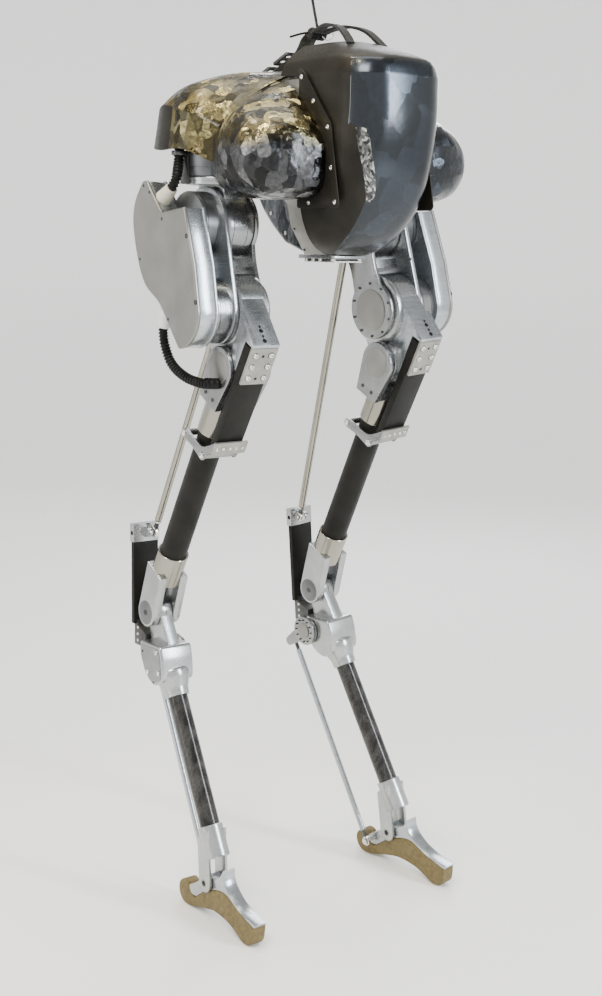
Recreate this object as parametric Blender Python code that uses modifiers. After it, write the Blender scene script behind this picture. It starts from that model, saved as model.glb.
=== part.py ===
"""A two-legged, bird-legged walking robot: a composite torso over two sprung legs.

Metres and degrees. +Z is up, the robot faces -Y and its left side is +X. The pieces are drawn
around the pelvis origin (the point between the two hip roll axes) with the hips straight, and the
frames (empties) then put them at their rest angles.
"""
import math

import bmesh
import bpy
from mathutils import Matrix, Vector

OBJECT_NAME = "walking_robot"
GAP = 0.0003
SHARP_EDGE = math.radians(35.0)

# Joint positions, forward / outward / up from the pelvis origin.
HIP_OUT = 0.135
ROLL_FORWARD = 0.021
YAW_BACK = 0.049
LEG_PLANE_OUT = 0.1305
HIP_DROP = 0.09

# Leg linkage, in the side view.
THIGH = 0.12
SHIN_PIVOT = (0.06068, 0.04741)
TARSUS_JOINT = (0.43476, 0.02)
CRANK_AXIS = (0.058, -0.034)
ANKLE = (0.408, -0.04)
CRANK_PIN = (-0.0425, -0.0275)
SPRING_ANGLE = 13.0
ANKLE_HEIGHT = 0.057

# Rest pose: angles of each leg at rest, in degrees.
HIP_PITCH = 15.0
KNEE = {"left": -44.34, "right": -45.0}
FOOT = {"left": -78.35, "right": -78.0}
ROLL = {"left": 4.5, "right": 0.0}
YAW = {"left": 4.5, "right": 0.0}
SIDES = {"left": 1, "right": -1}
PELVIS_HEIGHT = 1.1047
CENTRING = (-0.0118, -0.0350)

# Sections of the main members.
SHIN_R, SHIN_WALL, SHIN_SLEEVE_R, SHIN_BORE_R = 0.020, 0.002, 0.0234, 0.0203
TARSUS_R, TARSUS_WALL, TARSUS_SLEEVE_R, TARSUS_BORE_R = 0.015, 0.002, 0.0185, 0.0153
SHIN_LEAN = 0.012
ROD_R, PLANTAR_R = 0.0055, 0.0045
PIN_R = 0.003
HOSE_R = 0.0072
STRAP_WIDTH, STRAP_THICK = 0.025, 0.0022
TETHER_R = 0.002

MATERIALS = {
    "forged_carbon": ((0.035, 0.037, 0.042), 0.22, 0.15),
    "matte_composite": ((0.03, 0.03, 0.03), 0.55, 0.0),
    "satin_aluminium": ((0.66, 0.66, 0.65), 0.32, 0.95),
    "cast_aluminium": ((0.72, 0.72, 0.71), 0.42, 0.85),
    "polished_steel": ((0.62, 0.60, 0.55), 0.16, 1.0),
    "black_rubber": ((0.02, 0.02, 0.02), 0.6, 0.0),
    "cream_plastic": ((0.72, 0.69, 0.58), 0.45, 0.0),
    "olive_rubber": ((0.28, 0.22, 0.10), 0.75, 0.0),
    "webbing": ((0.03, 0.03, 0.028), 0.8, 0.0),
    "dark_metal": ((0.08, 0.08, 0.08), 0.35, 0.8),
}


# ---------------------------------------------------------------- geometry in the side view
def down(angle):
    """Unit (forward, up) vector of a link that swings `angle` degrees forward of straight down."""
    turn = math.radians(angle)
    return Vector((math.sin(turn), -math.cos(turn)))


def fore(angle):
    """Unit (forward, up) vector square to down(angle), to the link's front."""
    turn = math.radians(angle)
    return Vector((math.cos(turn), math.sin(turn)))


def on_link(origin, angle, along_front):
    """The side-view point that lies (along, front) from a link's origin."""
    return origin + along_front[0] * down(angle) + along_front[1] * fore(angle)


def circle(centre, radius, sides=18, start=0.0, end=360.0):
    """Points of an arc, anticlockwise; a whole circle leaves out the repeated last point."""
    steps = sides if end - start >= 360.0 else sides + 1
    span = (end - start) / sides
    turns = [math.radians(start + span * i) for i in range(steps)]
    return [(centre[0] + radius * math.cos(t), centre[1] + radius * math.sin(t)) for t in turns]


def hull(points):
    """Convex outline of 2D points, anticlockwise."""
    ordered = sorted({(round(p[0], 6), round(p[1], 6)) for p in points})

    def half(run):
        kept = []
        for p in run:
            while len(kept) > 1 and cross(kept[-2], kept[-1], p) <= 1e-10:
                kept.pop()
            kept.append(p)
        return kept[:-1]

    return half(ordered) + half(ordered[::-1])


def cross(a, b, c):
    return (b[0] - a[0]) * (c[1] - a[1]) - (b[1] - a[1]) * (c[0] - a[0])


def smooth(points, steps=3, closed=True):
    """A Catmull-Rom curve through the points."""
    count = len(points)
    result = []
    for i in range(count if closed else count - 1):
        near = [i - 1, i, i + 1, i + 2]
        if closed:
            p = [Vector(points[k % count]) for k in near]
        else:
            p = [Vector(points[min(max(k, 0), count - 1)]) for k in near]
        for j in range(steps):
            t = j / steps
            result.append(
                0.5 * (2 * p[1] + (p[2] - p[0]) * t
                       + (2 * p[0] - 5 * p[1] + 4 * p[2] - p[3]) * t ** 2
                       + (3 * p[1] - p[0] - 3 * p[2] + p[3]) * t ** 3))
    if not closed:
        result.append(Vector(points[-1]))
    return [tuple(p) for p in result]


# ---------------------------------------------------------------- Blender helpers
def clear_scene():
    for obj in list(bpy.data.objects):
        bpy.data.objects.remove(obj)


def new_collection(name):
    made = bpy.data.collections.new(name)
    bpy.context.scene.collection.children.link(made)
    return made


def make_material(name):
    colour, roughness, metallic = MATERIALS[name]
    made = bpy.data.materials.new(name)
    made.use_nodes = True
    shader = made.node_tree.nodes["Principled BSDF"]
    shader.inputs["Base Color"].default_value = (*colour, 1.0)
    shader.inputs["Roughness"].default_value = roughness
    shader.inputs["Metallic"].default_value = metallic
    made.diffuse_color = (*colour, 1.0)
    return made


def evaluated_mesh(obj):
    """The object's final mesh; the object and its own data are removed."""
    bpy.context.scene.collection.objects.link(obj)
    bpy.context.view_layer.update()
    graph = bpy.context.evaluated_depsgraph_get()
    mesh = bpy.data.meshes.new_from_object(obj.evaluated_get(graph))
    bpy.data.objects.remove(obj)
    tidy = bmesh.new()
    tidy.from_mesh(mesh)
    bmesh.ops.remove_doubles(tidy, verts=tidy.verts, dist=0.00001)
    bmesh.ops.recalc_face_normals(tidy, faces=tidy.faces)
    tidy.to_mesh(mesh)
    tidy.free()
    return mesh


def flat_solid(outline, low, high, matrix):
    """A flat outline as a curve with an extrusion from low to high along its third axis."""
    curve = bpy.data.curves.new("outline", "CURVE")
    curve.dimensions = "2D"
    curve.fill_mode = "BOTH"
    curve.extrude = abs(high - low) / 2
    spline = curve.splines.new("POLY")
    spline.points.add(len(outline) - 1)
    for point, place in zip(spline.points, outline):
        point.co = (place[0], place[1], 0.0, 1.0)
    spline.use_cyclic_u = True
    mesh = evaluated_mesh(bpy.data.objects.new("outline", curve))
    mesh.transform(matrix @ Matrix.Translation((0.0, 0.0, (low + high) / 2)))
    face_out(mesh)
    return mesh


def turned_solid(profile, matrix, steps=24):
    """A profile of (radius, height) points turned about the third axis by a Screw modifier."""
    mesh = bpy.data.meshes.new("profile")
    edges = [(i, i + 1) for i in range(len(profile) - 1)]
    mesh.from_pydata([(r, 0.0, h) for r, h in profile], edges, [])
    obj = bpy.data.objects.new("profile", mesh)
    screw = obj.modifiers.new("turn", "SCREW")
    screw.steps = steps
    screw.render_steps = steps
    screw.use_merge_vertices = True
    screw.merge_threshold = 0.00005
    made = evaluated_mesh(obj)
    made.transform(matrix)
    return made


def pipe_solid(points, radius, resolution=2):
    """A round curve through 3D points, with filled ends."""
    curve = bpy.data.curves.new("run", "CURVE")
    curve.dimensions = "3D"
    curve.bevel_depth = radius
    curve.bevel_resolution = resolution
    curve.use_fill_caps = True
    spline = curve.splines.new("POLY")
    spline.points.add(len(points) - 1)
    for point, place in zip(spline.points, points):
        point.co = (*place, 1.0)
    return evaluated_mesh(bpy.data.objects.new("run", curve))


def cylinder_solid(radius, start, end, sides=18, end_radius=None):
    """A cylinder or cone between two 3D points."""
    start, end = Vector(start), Vector(end)
    axis = end - start
    work = bmesh.new()
    bmesh.ops.create_cone(
        work, cap_ends=True, segments=sides, radius1=radius,
        radius2=radius if end_radius is None else end_radius, depth=axis.length)
    turn = Vector((0.0, 0.0, 1.0)).rotation_difference(axis).to_matrix().to_4x4()
    bmesh.ops.transform(
        work, verts=work.verts, matrix=Matrix.Translation((start + end) / 2) @ turn)
    return from_bmesh(work)


def box_solid(low, high):
    """A box between two opposite corners."""
    low, high = Vector(low), Vector(high)
    work = bmesh.new()
    bmesh.ops.create_cube(work, size=1.0)
    size = high - low
    bmesh.ops.transform(
        work, verts=work.verts,
        matrix=Matrix.Translation((low + high) / 2) @ Matrix.Diagonal((*map(abs, size), 1.0)))
    return from_bmesh(work)


def loft_solid(sections, closed_rings=True):
    """A skin through rings of equal point count, capped at both ends."""
    work = bmesh.new()
    rings = [[work.verts.new(p) for p in ring] for ring in sections]
    count = len(rings[0])
    for near, far in zip(rings, rings[1:]):
        for i in range(count if closed_rings else count - 1):
            j = (i + 1) % count
            work.faces.new((near[i], near[j], far[j], far[i]))
    if closed_rings:
        work.faces.new(rings[0])
        work.faces.new(rings[-1])
    bmesh.ops.triangulate(work, faces=work.faces)
    bmesh.ops.recalc_face_normals(work, faces=work.faces)
    return from_bmesh(work)


def shell_solid(sections, thickness, cap_first=False, cap_last=False):
    """A loft through open rows of points, thickened inwards by Solidify."""
    work = bmesh.new()
    rows = [[work.verts.new(p) for p in row] for row in sections]
    for near, far in zip(rows, rows[1:]):
        for i in range(len(near) - 1):
            work.faces.new((near[i], near[i + 1], far[i + 1], far[i]))
    if cap_first:
        work.faces.new(rows[0][::-1])
    if cap_last:
        work.faces.new(rows[-1])
    work.normal_update()
    centre = sum((v.co for v in work.verts), Vector()) / len(work.verts)
    facing = sum((f.calc_center_median() - centre).dot(f.normal) * f.calc_area() for f in work.faces)
    if facing < 0:
        bmesh.ops.reverse_faces(work, faces=work.faces)
    mesh = from_bmesh(work)
    obj = bpy.data.objects.new("skin", mesh)
    thicken = obj.modifiers.new("wall", "SOLIDIFY")
    thicken.thickness = thickness
    thicken.offset = -1.0
    return evaluated_mesh(obj)


def from_bmesh(work):
    mesh = bpy.data.meshes.new("shape")
    work.to_mesh(mesh)
    work.free()
    return mesh


def face_out(mesh):
    """Turns every face of a closed mesh outwards."""
    work = bmesh.new()
    work.from_mesh(mesh)
    bmesh.ops.recalc_face_normals(work, faces=work.faces)
    work.to_mesh(mesh)
    work.free()


def offset_outline(points, distance):
    """An anticlockwise outline moved inwards by a distance."""
    made = []
    for i, here in enumerate(points):
        before = (Vector(here) - Vector(points[i - 1])).normalized()
        after = (Vector(points[(i + 1) % len(points)]) - Vector(here)).normalized()
        inward = Vector((-before.y - after.y, before.x + after.x))
        square = Vector((-before.y, before.x))
        made.append(Vector(here) + inward * (distance / max(inward.dot(square), 0.3)))
    return [tuple(p) for p in made]


def rounded(points, radius, steps=3):
    """An outline with each corner replaced by a short curve."""
    made = []
    for i, here in enumerate(points):
        here = Vector(here)
        before = Vector(points[i - 1]) - here
        after = Vector(points[(i + 1) % len(points)]) - here
        reach = min(radius, before.length * 0.45, after.length * 0.45)
        start = here + before.normalized() * reach
        end = here + after.normalized() * reach
        for j in range(steps + 1):
            t = j / steps
            made.append(tuple((1 - t) ** 2 * start + 2 * t * (1 - t) * here + t ** 2 * end))
    return made


SIDE_VIEW = Matrix(((0, 0, 1, 0), (-1, 0, 0, 0), (0, 1, 0, 0), (0, 0, 0, 1)))
"""Takes an outline in (forward, up), extruded outward, to (outward, back, up)."""
FRONT_VIEW = Matrix(((1, 0, 0, 0), (0, 0, 1, 0), (0, 1, 0, 0), (0, 0, 0, 1)))
"""Takes an outline in (sideways, up), extruded towards the back, to (x, y, z)."""
FLANK_VIEW = Matrix(((0, 0, 1, 0), (1, 0, 0, 0), (0, 1, 0, 0), (0, 0, 0, 1)))
"""Takes an outline in (back, up), extruded sideways, to (x, y, z)."""


# ---------------------------------------------------------------- frames and nodes
class Robot:
    """Holds the collections, the frames (empties on the joint axes) and the materials."""

    def __init__(self):
        self.parts = new_collection(OBJECT_NAME)
        self.helpers = new_collection(OBJECT_NAME + "_cutters")
        self.materials = {name: make_material(name) for name in MATERIALS}
        self.frames = {}
        self.zero = {}

    def frame(self, name, parent, zero, turn=(0.0, 0.0, 0.0)):
        """An empty on a joint's axis; zero is its place with the hips straight."""
        empty = bpy.data.objects.new("frame_" + name, None)
        empty.empty_display_size = 0.03
        self.parts.objects.link(empty)
        base = self.zero[parent] if parent else Vector((0.0, 0.0, 0.0))
        empty.parent = self.frames.get(parent)
        empty.location = Vector(zero) - base
        empty.rotation_euler = turn
        self.frames[name] = empty
        self.zero[name] = Vector(zero)

    def node(self, name, mesh, frame, material, add=(), cut=()):
        """One named sub-part, with solids united with it and then cut from it."""
        mesh.shade_smooth()
        mesh.set_sharp_from_angle(angle=SHARP_EDGE)
        obj = bpy.data.objects.new(name, mesh)
        self.parts.objects.link(obj)
        self.attach(obj, frame)
        obj.data.materials.append(self.materials[material])
        for operation, tools in (("UNION", add), ("DIFFERENCE", cut)):
            for number, tool in enumerate(tools):
                self.use_tool(obj, tool, frame, operation, number)
        return obj

    def use_tool(self, obj, mesh, frame, operation, number):
        tool = bpy.data.objects.new(f"{obj.name}_{operation.lower()}_{number}", mesh)
        self.helpers.objects.link(tool)
        self.attach(tool, frame)
        tool.hide_render = True
        tool.display_type = "WIRE"
        boolean = obj.modifiers.new(operation.lower(), "BOOLEAN")
        boolean.operation = operation
        boolean.solver = "EXACT"
        boolean.object = tool

    def attach(self, obj, frame):
        obj.parent = self.frames[frame]
        obj.location = -self.zero[frame]


class Leg:
    """One leg: side-view points of its joints at rest, and solids mirrored for the right side."""

    def __init__(self, robot, side):
        self.robot = robot
        self.side = side
        self.sign = SIDES[side]
        self.hip = Vector((0.0, 0.0))
        self.thigh_angle = HIP_PITCH
        self.knee_angle = HIP_PITCH + KNEE[side]
        self.tarsus_angle = HIP_PITCH + SPRING_ANGLE
        self.knee = THIGH * down(self.thigh_angle)
        self.shin_top = on_link(self.knee, self.knee_angle, SHIN_PIVOT)
        self.tarsus = on_link(self.shin_top, self.knee_angle, TARSUS_JOINT)
        self.spring_tip = self.tarsus - self.knee
        self.crank = on_link(self.tarsus, self.tarsus_angle, CRANK_AXIS)
        self.ankle = on_link(self.tarsus, self.tarsus_angle, ANKLE)
        foot_turn = math.radians(FOOT[side] - FOOT["right"])
        pin = Matrix.Rotation(foot_turn, 2) @ Vector(CRANK_PIN)
        self.foot_turn = foot_turn
        self.crank_pin = self.crank + pin
        self.foot_pin = self.ankle + pin
        foot_line = self.tarsus - SHIN_LEAN * fore(self.knee_angle) - self.shin_top
        self.shin_axis = foot_line.normalized()
        self.make_frames()

    def make_frames(self):
        s, robot = self.side, self.robot
        roll = (0.0, -math.radians(ROLL[s]), 0.0)
        yaw = (0.0, 0.0, math.radians(YAW[s]))
        robot.frame(f"hip_roll_{s}", "pelvis", (self.sign * HIP_OUT, -ROLL_FORWARD, 0.0), roll)
        robot.frame(f"hip_yaw_{s}", f"hip_roll_{s}", (self.sign * HIP_OUT, YAW_BACK, 0.0), yaw)
        robot.frame(f"hip_pitch_{s}", f"hip_yaw_{s}", self.place(0.0, self.hip))
        robot.frame(f"achilles_{s}", f"hip_pitch_{s}", self.place(0.0, self.hip))
        robot.frame(f"knee_{s}", f"hip_pitch_{s}", self.place(0.0, self.knee))
        robot.frame(f"tarsus_{s}", f"knee_{s}", self.place(0.0, self.tarsus))
        robot.frame(f"foot_crank_{s}", f"tarsus_{s}", self.place(0.0, self.crank))
        robot.frame(f"plantar_{s}", f"foot_crank_{s}", self.place(0.0, self.crank_pin))
        robot.frame(f"foot_{s}", f"tarsus_{s}", self.place(0.0, self.ankle))

    def place(self, out, point):
        """World-like place (hips straight) of a side-view point at a distance out of the leg plane."""
        return Vector((self.sign * (LEG_PLANE_OUT + out), YAW_BACK - point[0], point[1] - HIP_DROP))

    def leg_matrix(self):
        """Takes (outward, back, up) from the hip pitch axis to its place, mirrored on the right."""
        origin = self.place(0.0, self.hip)
        return Matrix.Translation(origin) @ Matrix.Diagonal((self.sign, 1.0, 1.0, 1.0))

    def outward(self, mesh, matrix):
        mesh.transform(matrix)
        if self.sign < 0:
            mesh.flip_normals()
        return mesh

    def plate(self, outline, low, high):
        """A side-view outline between two distances out of the leg plane."""
        return self.outward(flat_solid(outline, low, high, SIDE_VIEW), self.leg_matrix())

    def ring(self, centre, outer, hole, low, high, sides=12):
        """A round eye on a lateral axis, turned from its section."""
        section = [(outer, low), (outer, high), (hole, high), (hole, low), (outer, low)]
        turn = Matrix(((0, 0, 1, 0), (1, 0, 0, -centre[0]), (0, 1, 0, centre[1]), (0, 0, 0, 1)))
        return self.outward(turned_solid(section, turn, sides), self.leg_matrix())

    def tube(self, outer, hole, start, end, sides=16):
        """A straight tube between two side-view points of the leg plane."""
        run = end - start
        section = [(outer, 0.0), (outer, run.length), (hole, run.length), (hole, 0.0), (outer, 0.0)]
        along = Vector((0.0, -run[0], run[1])).normalized()
        turn = Vector((0.0, 0.0, 1.0)).rotation_difference(along).to_matrix().to_4x4()
        base = Matrix.Translation((0.0, -start[0], start[1])) @ turn
        return self.outward(turned_solid(section, base, sides), self.leg_matrix())

    def bar(self, radius, start, end, sides=18, end_radius=None):
        """A cylinder between two (out, side-view point) ends."""
        a = (start[0], -start[1][0], start[1][1])
        b = (end[0], -end[1][0], end[1][1])
        mesh = cylinder_solid(radius, a, b, sides, end_radius)
        return self.outward(mesh, self.leg_matrix())

    def disc(self, centre, radius, low, high, sides=20):
        """A round boss on a lateral axis."""
        return self.bar(radius, (low, centre), (high, centre), sides)

    def socket(self, outer, hole, start, depth, end, sides=16):
        """A round bar between two side-view points, bored from its start to a depth."""
        run = end - start
        section = [(outer, 0.0), (outer, run.length), (0.0, run.length), (0.0, depth), (hole, depth),
                   (hole, 0.0), (outer, 0.0)]
        along = Vector((0.0, -run[0], run[1])).normalized()
        turn = Vector((0.0, 0.0, 1.0)).rotation_difference(along).to_matrix().to_4x4()
        base = Matrix.Translation((0.0, -start[0], start[1])) @ turn
        return self.outward(turned_solid(section, base, sides), self.leg_matrix())

    def hose(self, points, radius):
        """A pipe through (out, forward, up) points."""
        mesh = pipe_solid([(p[0], -p[1], p[2]) for p in points], radius)
        return self.outward(mesh, self.leg_matrix())

    def pelvis_mesh(self, mesh):
        """A mesh drawn for the left side around the pelvis origin, mirrored on the right."""
        return self.outward(mesh, Matrix.Diagonal((self.sign, 1.0, 1.0, 1.0)))

    def add(self, piece, mesh, frame, material, add=(), cut=()):
        return self.robot.node(
            f"{piece}_{self.side}", mesh, f"{frame}_{self.side}", material, add, cut)


# ---------------------------------------------------------------- torso
SEAM_Y = -0.0095
FRAME_FRONT_Y, FRAME_BACK_Y = -0.062, -0.012
TORSO_HALF = 0.0765
FLANGE_X = TORSO_HALF + 0.002
FRONT_SHELL_LEVELS = (
    # height, half width, front (y), corner depth, back edge (y)
    (-0.128, 0.034, -0.088, 0.024, -0.0623), (-0.116, 0.052, -0.112, 0.040, -0.0623),
    (-0.095, 0.066, -0.136, 0.050, -0.0623), (-0.062, 0.0755, -0.160, 0.055, -0.0623),
    (-0.015, TORSO_HALF, -0.180, 0.058, -0.0623), (0.045, TORSO_HALF, -0.190, 0.056, -0.0623),
    (0.090, TORSO_HALF, -0.190, 0.054, -0.0623), (0.1005, 0.0762, -0.189, 0.054, -0.0623),
    (0.1025, 0.0760, -0.188, 0.054, -0.0140), (0.118, 0.0700, -0.182, 0.052, -0.0140),
    (0.132, 0.0580, -0.152, 0.046, -0.0150), (0.146, 0.0380, -0.102, 0.036, -0.0180))
"""Horizontal sections of the front shell, from the belly to the crown."""


def front_shell_row(level, corner_steps=3):
    """A U-shaped row: along one flank, round the corners and the front, and back."""
    height, half, front, corner, back = level
    row = [(half, back), (half, front + corner)]
    for i in range(1, corner_steps + 1):
        turn = math.radians(90.0 * i / corner_steps)
        across = half - (half * 0.62) * (1 - math.cos(turn))
        row.append((across, front + corner * (1 - math.sin(turn))))
    right = [(x, y, height) for x, y in row]
    left = [(-x, y, z) for x, y, z in right[::-1]]
    return right + left


def torso_front_shell(robot):
    """The composite front of the torso, open at the back where the frame closes it."""
    rows = [front_shell_row(level) for level in FRONT_SHELL_LEVELS]
    skin = shell_solid(rows, 0.003, cap_first=True, cap_last=True)
    robot.node("torso_front_shell", skin, "pelvis", "forged_carbon")


FRAME_OUTLINE = (
    (0.030, -0.1285), (0.054, -0.090), (0.060, -0.062), (0.074, -0.050), (0.110, -0.026),
    (0.110, 0.026), (0.074, 0.060), (0.068, 0.0995))
"""Right half of the frame slab, seen from the front as (sideways, up), bottom to top."""
MOTOR_R, MOTOR_FRONT_Y = 0.036, -0.092


def pelvis_frame(robot):
    """The machined slab that carries the shells, with the two hip roll motors on it."""
    outline = list(FRAME_OUTLINE) + [(-x, z) for x, z in FRAME_OUTLINE[::-1]]
    slab = flat_solid(outline, FRAME_FRONT_Y, FRAME_BACK_Y, FRONT_VIEW)
    motors = [
        cylinder_solid(MOTOR_R, (s * HIP_OUT, MOTOR_FRONT_Y, 0.0), (s * HIP_OUT, FRAME_BACK_Y, 0.0))
        for s in (1, -1)]
    window = box_solid((-0.035, FRAME_FRONT_Y - 0.01, -0.05), (0.035, FRAME_BACK_Y + 0.01, 0.07))
    robot.node("pelvis_frame", slab, "pelvis", "satin_aluminium", add=motors, cut=[window])


REAR_Y = FRAME_BACK_Y + GAP
BELLY_SIDE = (
    (REAR_Y, -0.126), (0.030, -0.114), (0.066, -0.087), (0.096, -0.054), (0.112, -0.010),
    (0.112, 0.020), (0.098, 0.036), (REAR_Y, 0.040))
BELLY_HOLLOW = (
    (REAR_Y - 0.01, -0.118), (0.026, -0.106), (0.060, -0.082), (0.089, -0.050), (0.105, -0.010),
    (0.105, 0.018), (0.094, 0.031), (REAR_Y - 0.01, 0.034))
RIDGE_SIDE = (
    (REAR_Y, 0.030), (0.090, 0.030), (0.110, 0.050), (0.122, 0.088), (0.112, 0.106),
    (0.060, 0.116), (REAR_Y, 0.120))


def torso_rear_shell(robot):
    """The narrow rear belly, with the ridge that runs up between the two hip shells."""
    belly = flat_solid(BELLY_SIDE, -0.036, 0.036, FLANK_VIEW)
    ridge = flat_solid(RIDGE_SIDE, -0.0115, 0.0115, FLANK_VIEW)
    hollow = flat_solid(BELLY_HOLLOW, -0.0325, 0.0325, FLANK_VIEW)
    robot.node(
        "torso_rear_shell", belly, "pelvis", "forged_carbon", add=[ridge], cut=[hollow])


def underside_bracket(robot):
    """The lifting bracket under the belly, on the end of the frame."""
    plate = box_solid((-0.030, -0.077, -0.139), (0.030, 0.003, -0.1288))
    slot = box_solid((-0.018, -0.062, -0.145), (0.018, -0.050, -0.120))
    robot.node("underside_bracket", plate, "pelvis", "satin_aluminium", cut=[slot])


ROLL_COVER_SECTIONS = (
    # y, then (sideways, up) from the top inner edge, over the outside, to the bottom inner edge
    (SEAM_Y, (0.0, 0.098), (0.12, 0.076), (0.158, 0.048), (0.176, 0.015), (0.178, -0.015),
     (0.166, -0.042), (0.130, -0.055), (0.0, -0.056)),
    (-0.050, (0.0, 0.086), (0.12, 0.076), (0.165, 0.054), (0.190, 0.020), (0.192, -0.015),
     (0.175, -0.045), (0.130, -0.057), (0.0, -0.057)),
    (-0.092, (0.0, 0.050), (0.115, 0.056), (0.155, 0.044), (0.181, 0.018), (0.184, -0.015),
     (0.165, -0.044), (0.125, -0.055), (0.0, -0.054)),
    (-0.116, (0.0, 0.020), (0.11, 0.034), (0.140, 0.032), (0.161, 0.012), (0.163, -0.012),
     (0.148, -0.034), (0.118, -0.044), (0.0, -0.044)),
    (-0.124, (0.0, 0.005), (0.10, 0.018), (0.120, 0.015), (0.134, 0.004), (0.135, -0.008),
     (0.126, -0.020), (0.108, -0.028), (0.0, -0.030)))
FLANGE_OUTLINE = (
    (-0.0627, 0.112), (-0.074, 0.105), (-0.102, 0.073), (-0.134, 0.037), (-0.143, -0.016),
    (-0.153, -0.063), (-0.149, -0.068), (-0.0627, -0.068), (-0.0627, -0.050), (-0.104, -0.047),
    (-0.119, -0.030), (-0.1215, -0.004), (-0.110, 0.018), (-0.088, 0.044), (-0.0627, 0.070))
FLANGE_SCREWS = (
    (-0.069, 0.099), (-0.096, 0.067), (-0.127, 0.033), (-0.135, -0.018), (-0.145, -0.061),
    (-0.089, -0.061))


def cover_ring(section, shift_y, wall):
    """One closed ring of the roll cover; with a wall it is drawn in and runs past the open flank."""
    y, *row = section
    edge = FLANGE_X + 0.0006
    outline = [(x if x else edge, z) for x, z in row][::-1]
    if wall:
        outline = offset_outline(outline, wall)
        outline[0] = (edge - 0.02, outline[0][1])
        outline[-1] = (edge - 0.02, outline[-1][1])
    return [(x, y + shift_y, z) for x, z in outline]


def roll_cover(leg):
    """The rounded cover over a hip roll motor, with the flange that screws to the torso's flank."""
    outer = loft_solid([cover_ring(section, 0.0, 0.0) for section in ROLL_COVER_SECTIONS])
    moves = (0.01, 0.0, 0.0006, 0.0015, 0.0028)
    inner = loft_solid([cover_ring(s, m, 0.0028) for s, m in zip(ROLL_COVER_SECTIONS, moves)])
    flange = flat_solid(FLANGE_OUTLINE, FLANGE_X + GAP, FLANGE_X + 0.0022, FLANK_VIEW)
    screws = [
        cylinder_solid(0.0034, (FLANGE_X + 0.0012, y, z), (FLANGE_X + 0.0038, y, z), 8)
        for y, z in FLANGE_SCREWS]
    obj = leg.robot.node(
        f"roll_cover_{leg.side}", leg.pelvis_mesh(outer), "pelvis", "forged_carbon",
        cut=[leg.pelvis_mesh(inner)])
    for number, mesh in enumerate([flange, *screws]):
        leg.robot.use_tool(obj, leg.pelvis_mesh(mesh), "pelvis", "UNION", number)


STRAP_REAR = (
    (0.118, 0.1165), (0.098, 0.1245), (0.046, 0.1425), (0.026, 0.1625), (0.012, 0.1680),
    (-0.006, 0.1685))
STRAP_FRONT = (
    (0.012, 0.1668), (-0.020, 0.1685), (-0.054, 0.1680), (-0.097, 0.1550), (-0.128, 0.1415))
STRAP_SPREAD = (-0.035, 0.020)


def ribbon(route, start_x, end_x, width):
    """A flat strap along a (back, up) route that drifts sideways from start_x to end_x."""
    rings = []
    for i, (y, z) in enumerate(route):
        before = Vector(route[max(i - 1, 0)])
        after = Vector(route[min(i + 1, len(route) - 1)])
        run = (after - before).normalized()
        lift = Vector((-run.y, run.x)) * (STRAP_THICK / 2)
        if lift.y < 0:
            lift = -lift
        x = start_x + (end_x - start_x) * i / (len(route) - 1)
        a, b = (y + lift.x, z + lift.y), (y - lift.x, z - lift.y)
        rings.append([
            (x - width / 2, *a), (x + width / 2, *a), (x + width / 2, *b), (x - width / 2, *b)])
    return loft_solid(rings)


def lifting_strap(robot):
    """The webbing the robot is lifted by: one band over the back that splits in two to the front."""
    band = ribbon(STRAP_REAR, 0.0, 0.0, STRAP_WIDTH)
    ends = [ribbon(STRAP_FRONT, 0.004 * (1 if x > 0 else -1), x, STRAP_WIDTH * 0.8) for x in STRAP_SPREAD]
    knot = cylinder_solid(0.0085, (-0.013, 0.008, 0.1675), (0.013, 0.008, 0.1675), 12)
    robot.node("lifting_strap", band, "pelvis", "webbing", add=[*ends, knot])


BUCKLE_SIDE = ((0.050, 0.1465), (0.052, 0.1505), (0.139, 0.1200), (0.137, 0.1155))


def strap_buckle(robot):
    """The ladder buckle on the strap behind the knot."""
    plate = flat_solid(BUCKLE_SIDE, -0.021, 0.021, FLANK_VIEW)
    slots = [
        box_solid((-0.014, y, 0.10), (0.014, y + 0.010, 0.17)) for y in (0.062, 0.086, 0.112)]
    robot.node("strap_buckle", plate, "pelvis", "polished_steel", cut=slots)


TETHER_ROUTE = ((0.0, 0.008, 0.1775), (0.0, 0.012, 0.190), (0.0, 0.020, 0.214), (0.0, 0.028, 0.2360))


def tether(robot):
    """The thin slack line from the knot up to its hook."""
    route = smooth(TETHER_ROUTE, 3, closed=False)
    robot.node("tether", pipe_solid(route, TETHER_R), "pelvis", "black_rubber")


def tether_hook(robot):
    """The oval snap hook the line hangs from."""
    middle = Vector((0.0, 0.032, 0.2575))
    eye = [
        middle + Vector((0.0, 0.0095 * math.cos(t), 0.0175 * math.sin(t)))
        for t in (math.radians(22.5 * i) for i in range(16))]
    curve = bpy.data.curves.new("hook", "CURVE")
    curve.dimensions = "3D"
    curve.bevel_depth = 0.003
    curve.bevel_resolution = 1
    spline = curve.splines.new("POLY")
    spline.points.add(len(eye) - 1)
    for point, place in zip(spline.points, eye):
        point.co = (*place, 1.0)
    spline.use_cyclic_u = True
    mesh = evaluated_mesh(bpy.data.objects.new("hook", curve))
    robot.node("tether_hook", mesh, "pelvis", "polished_steel")


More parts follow.
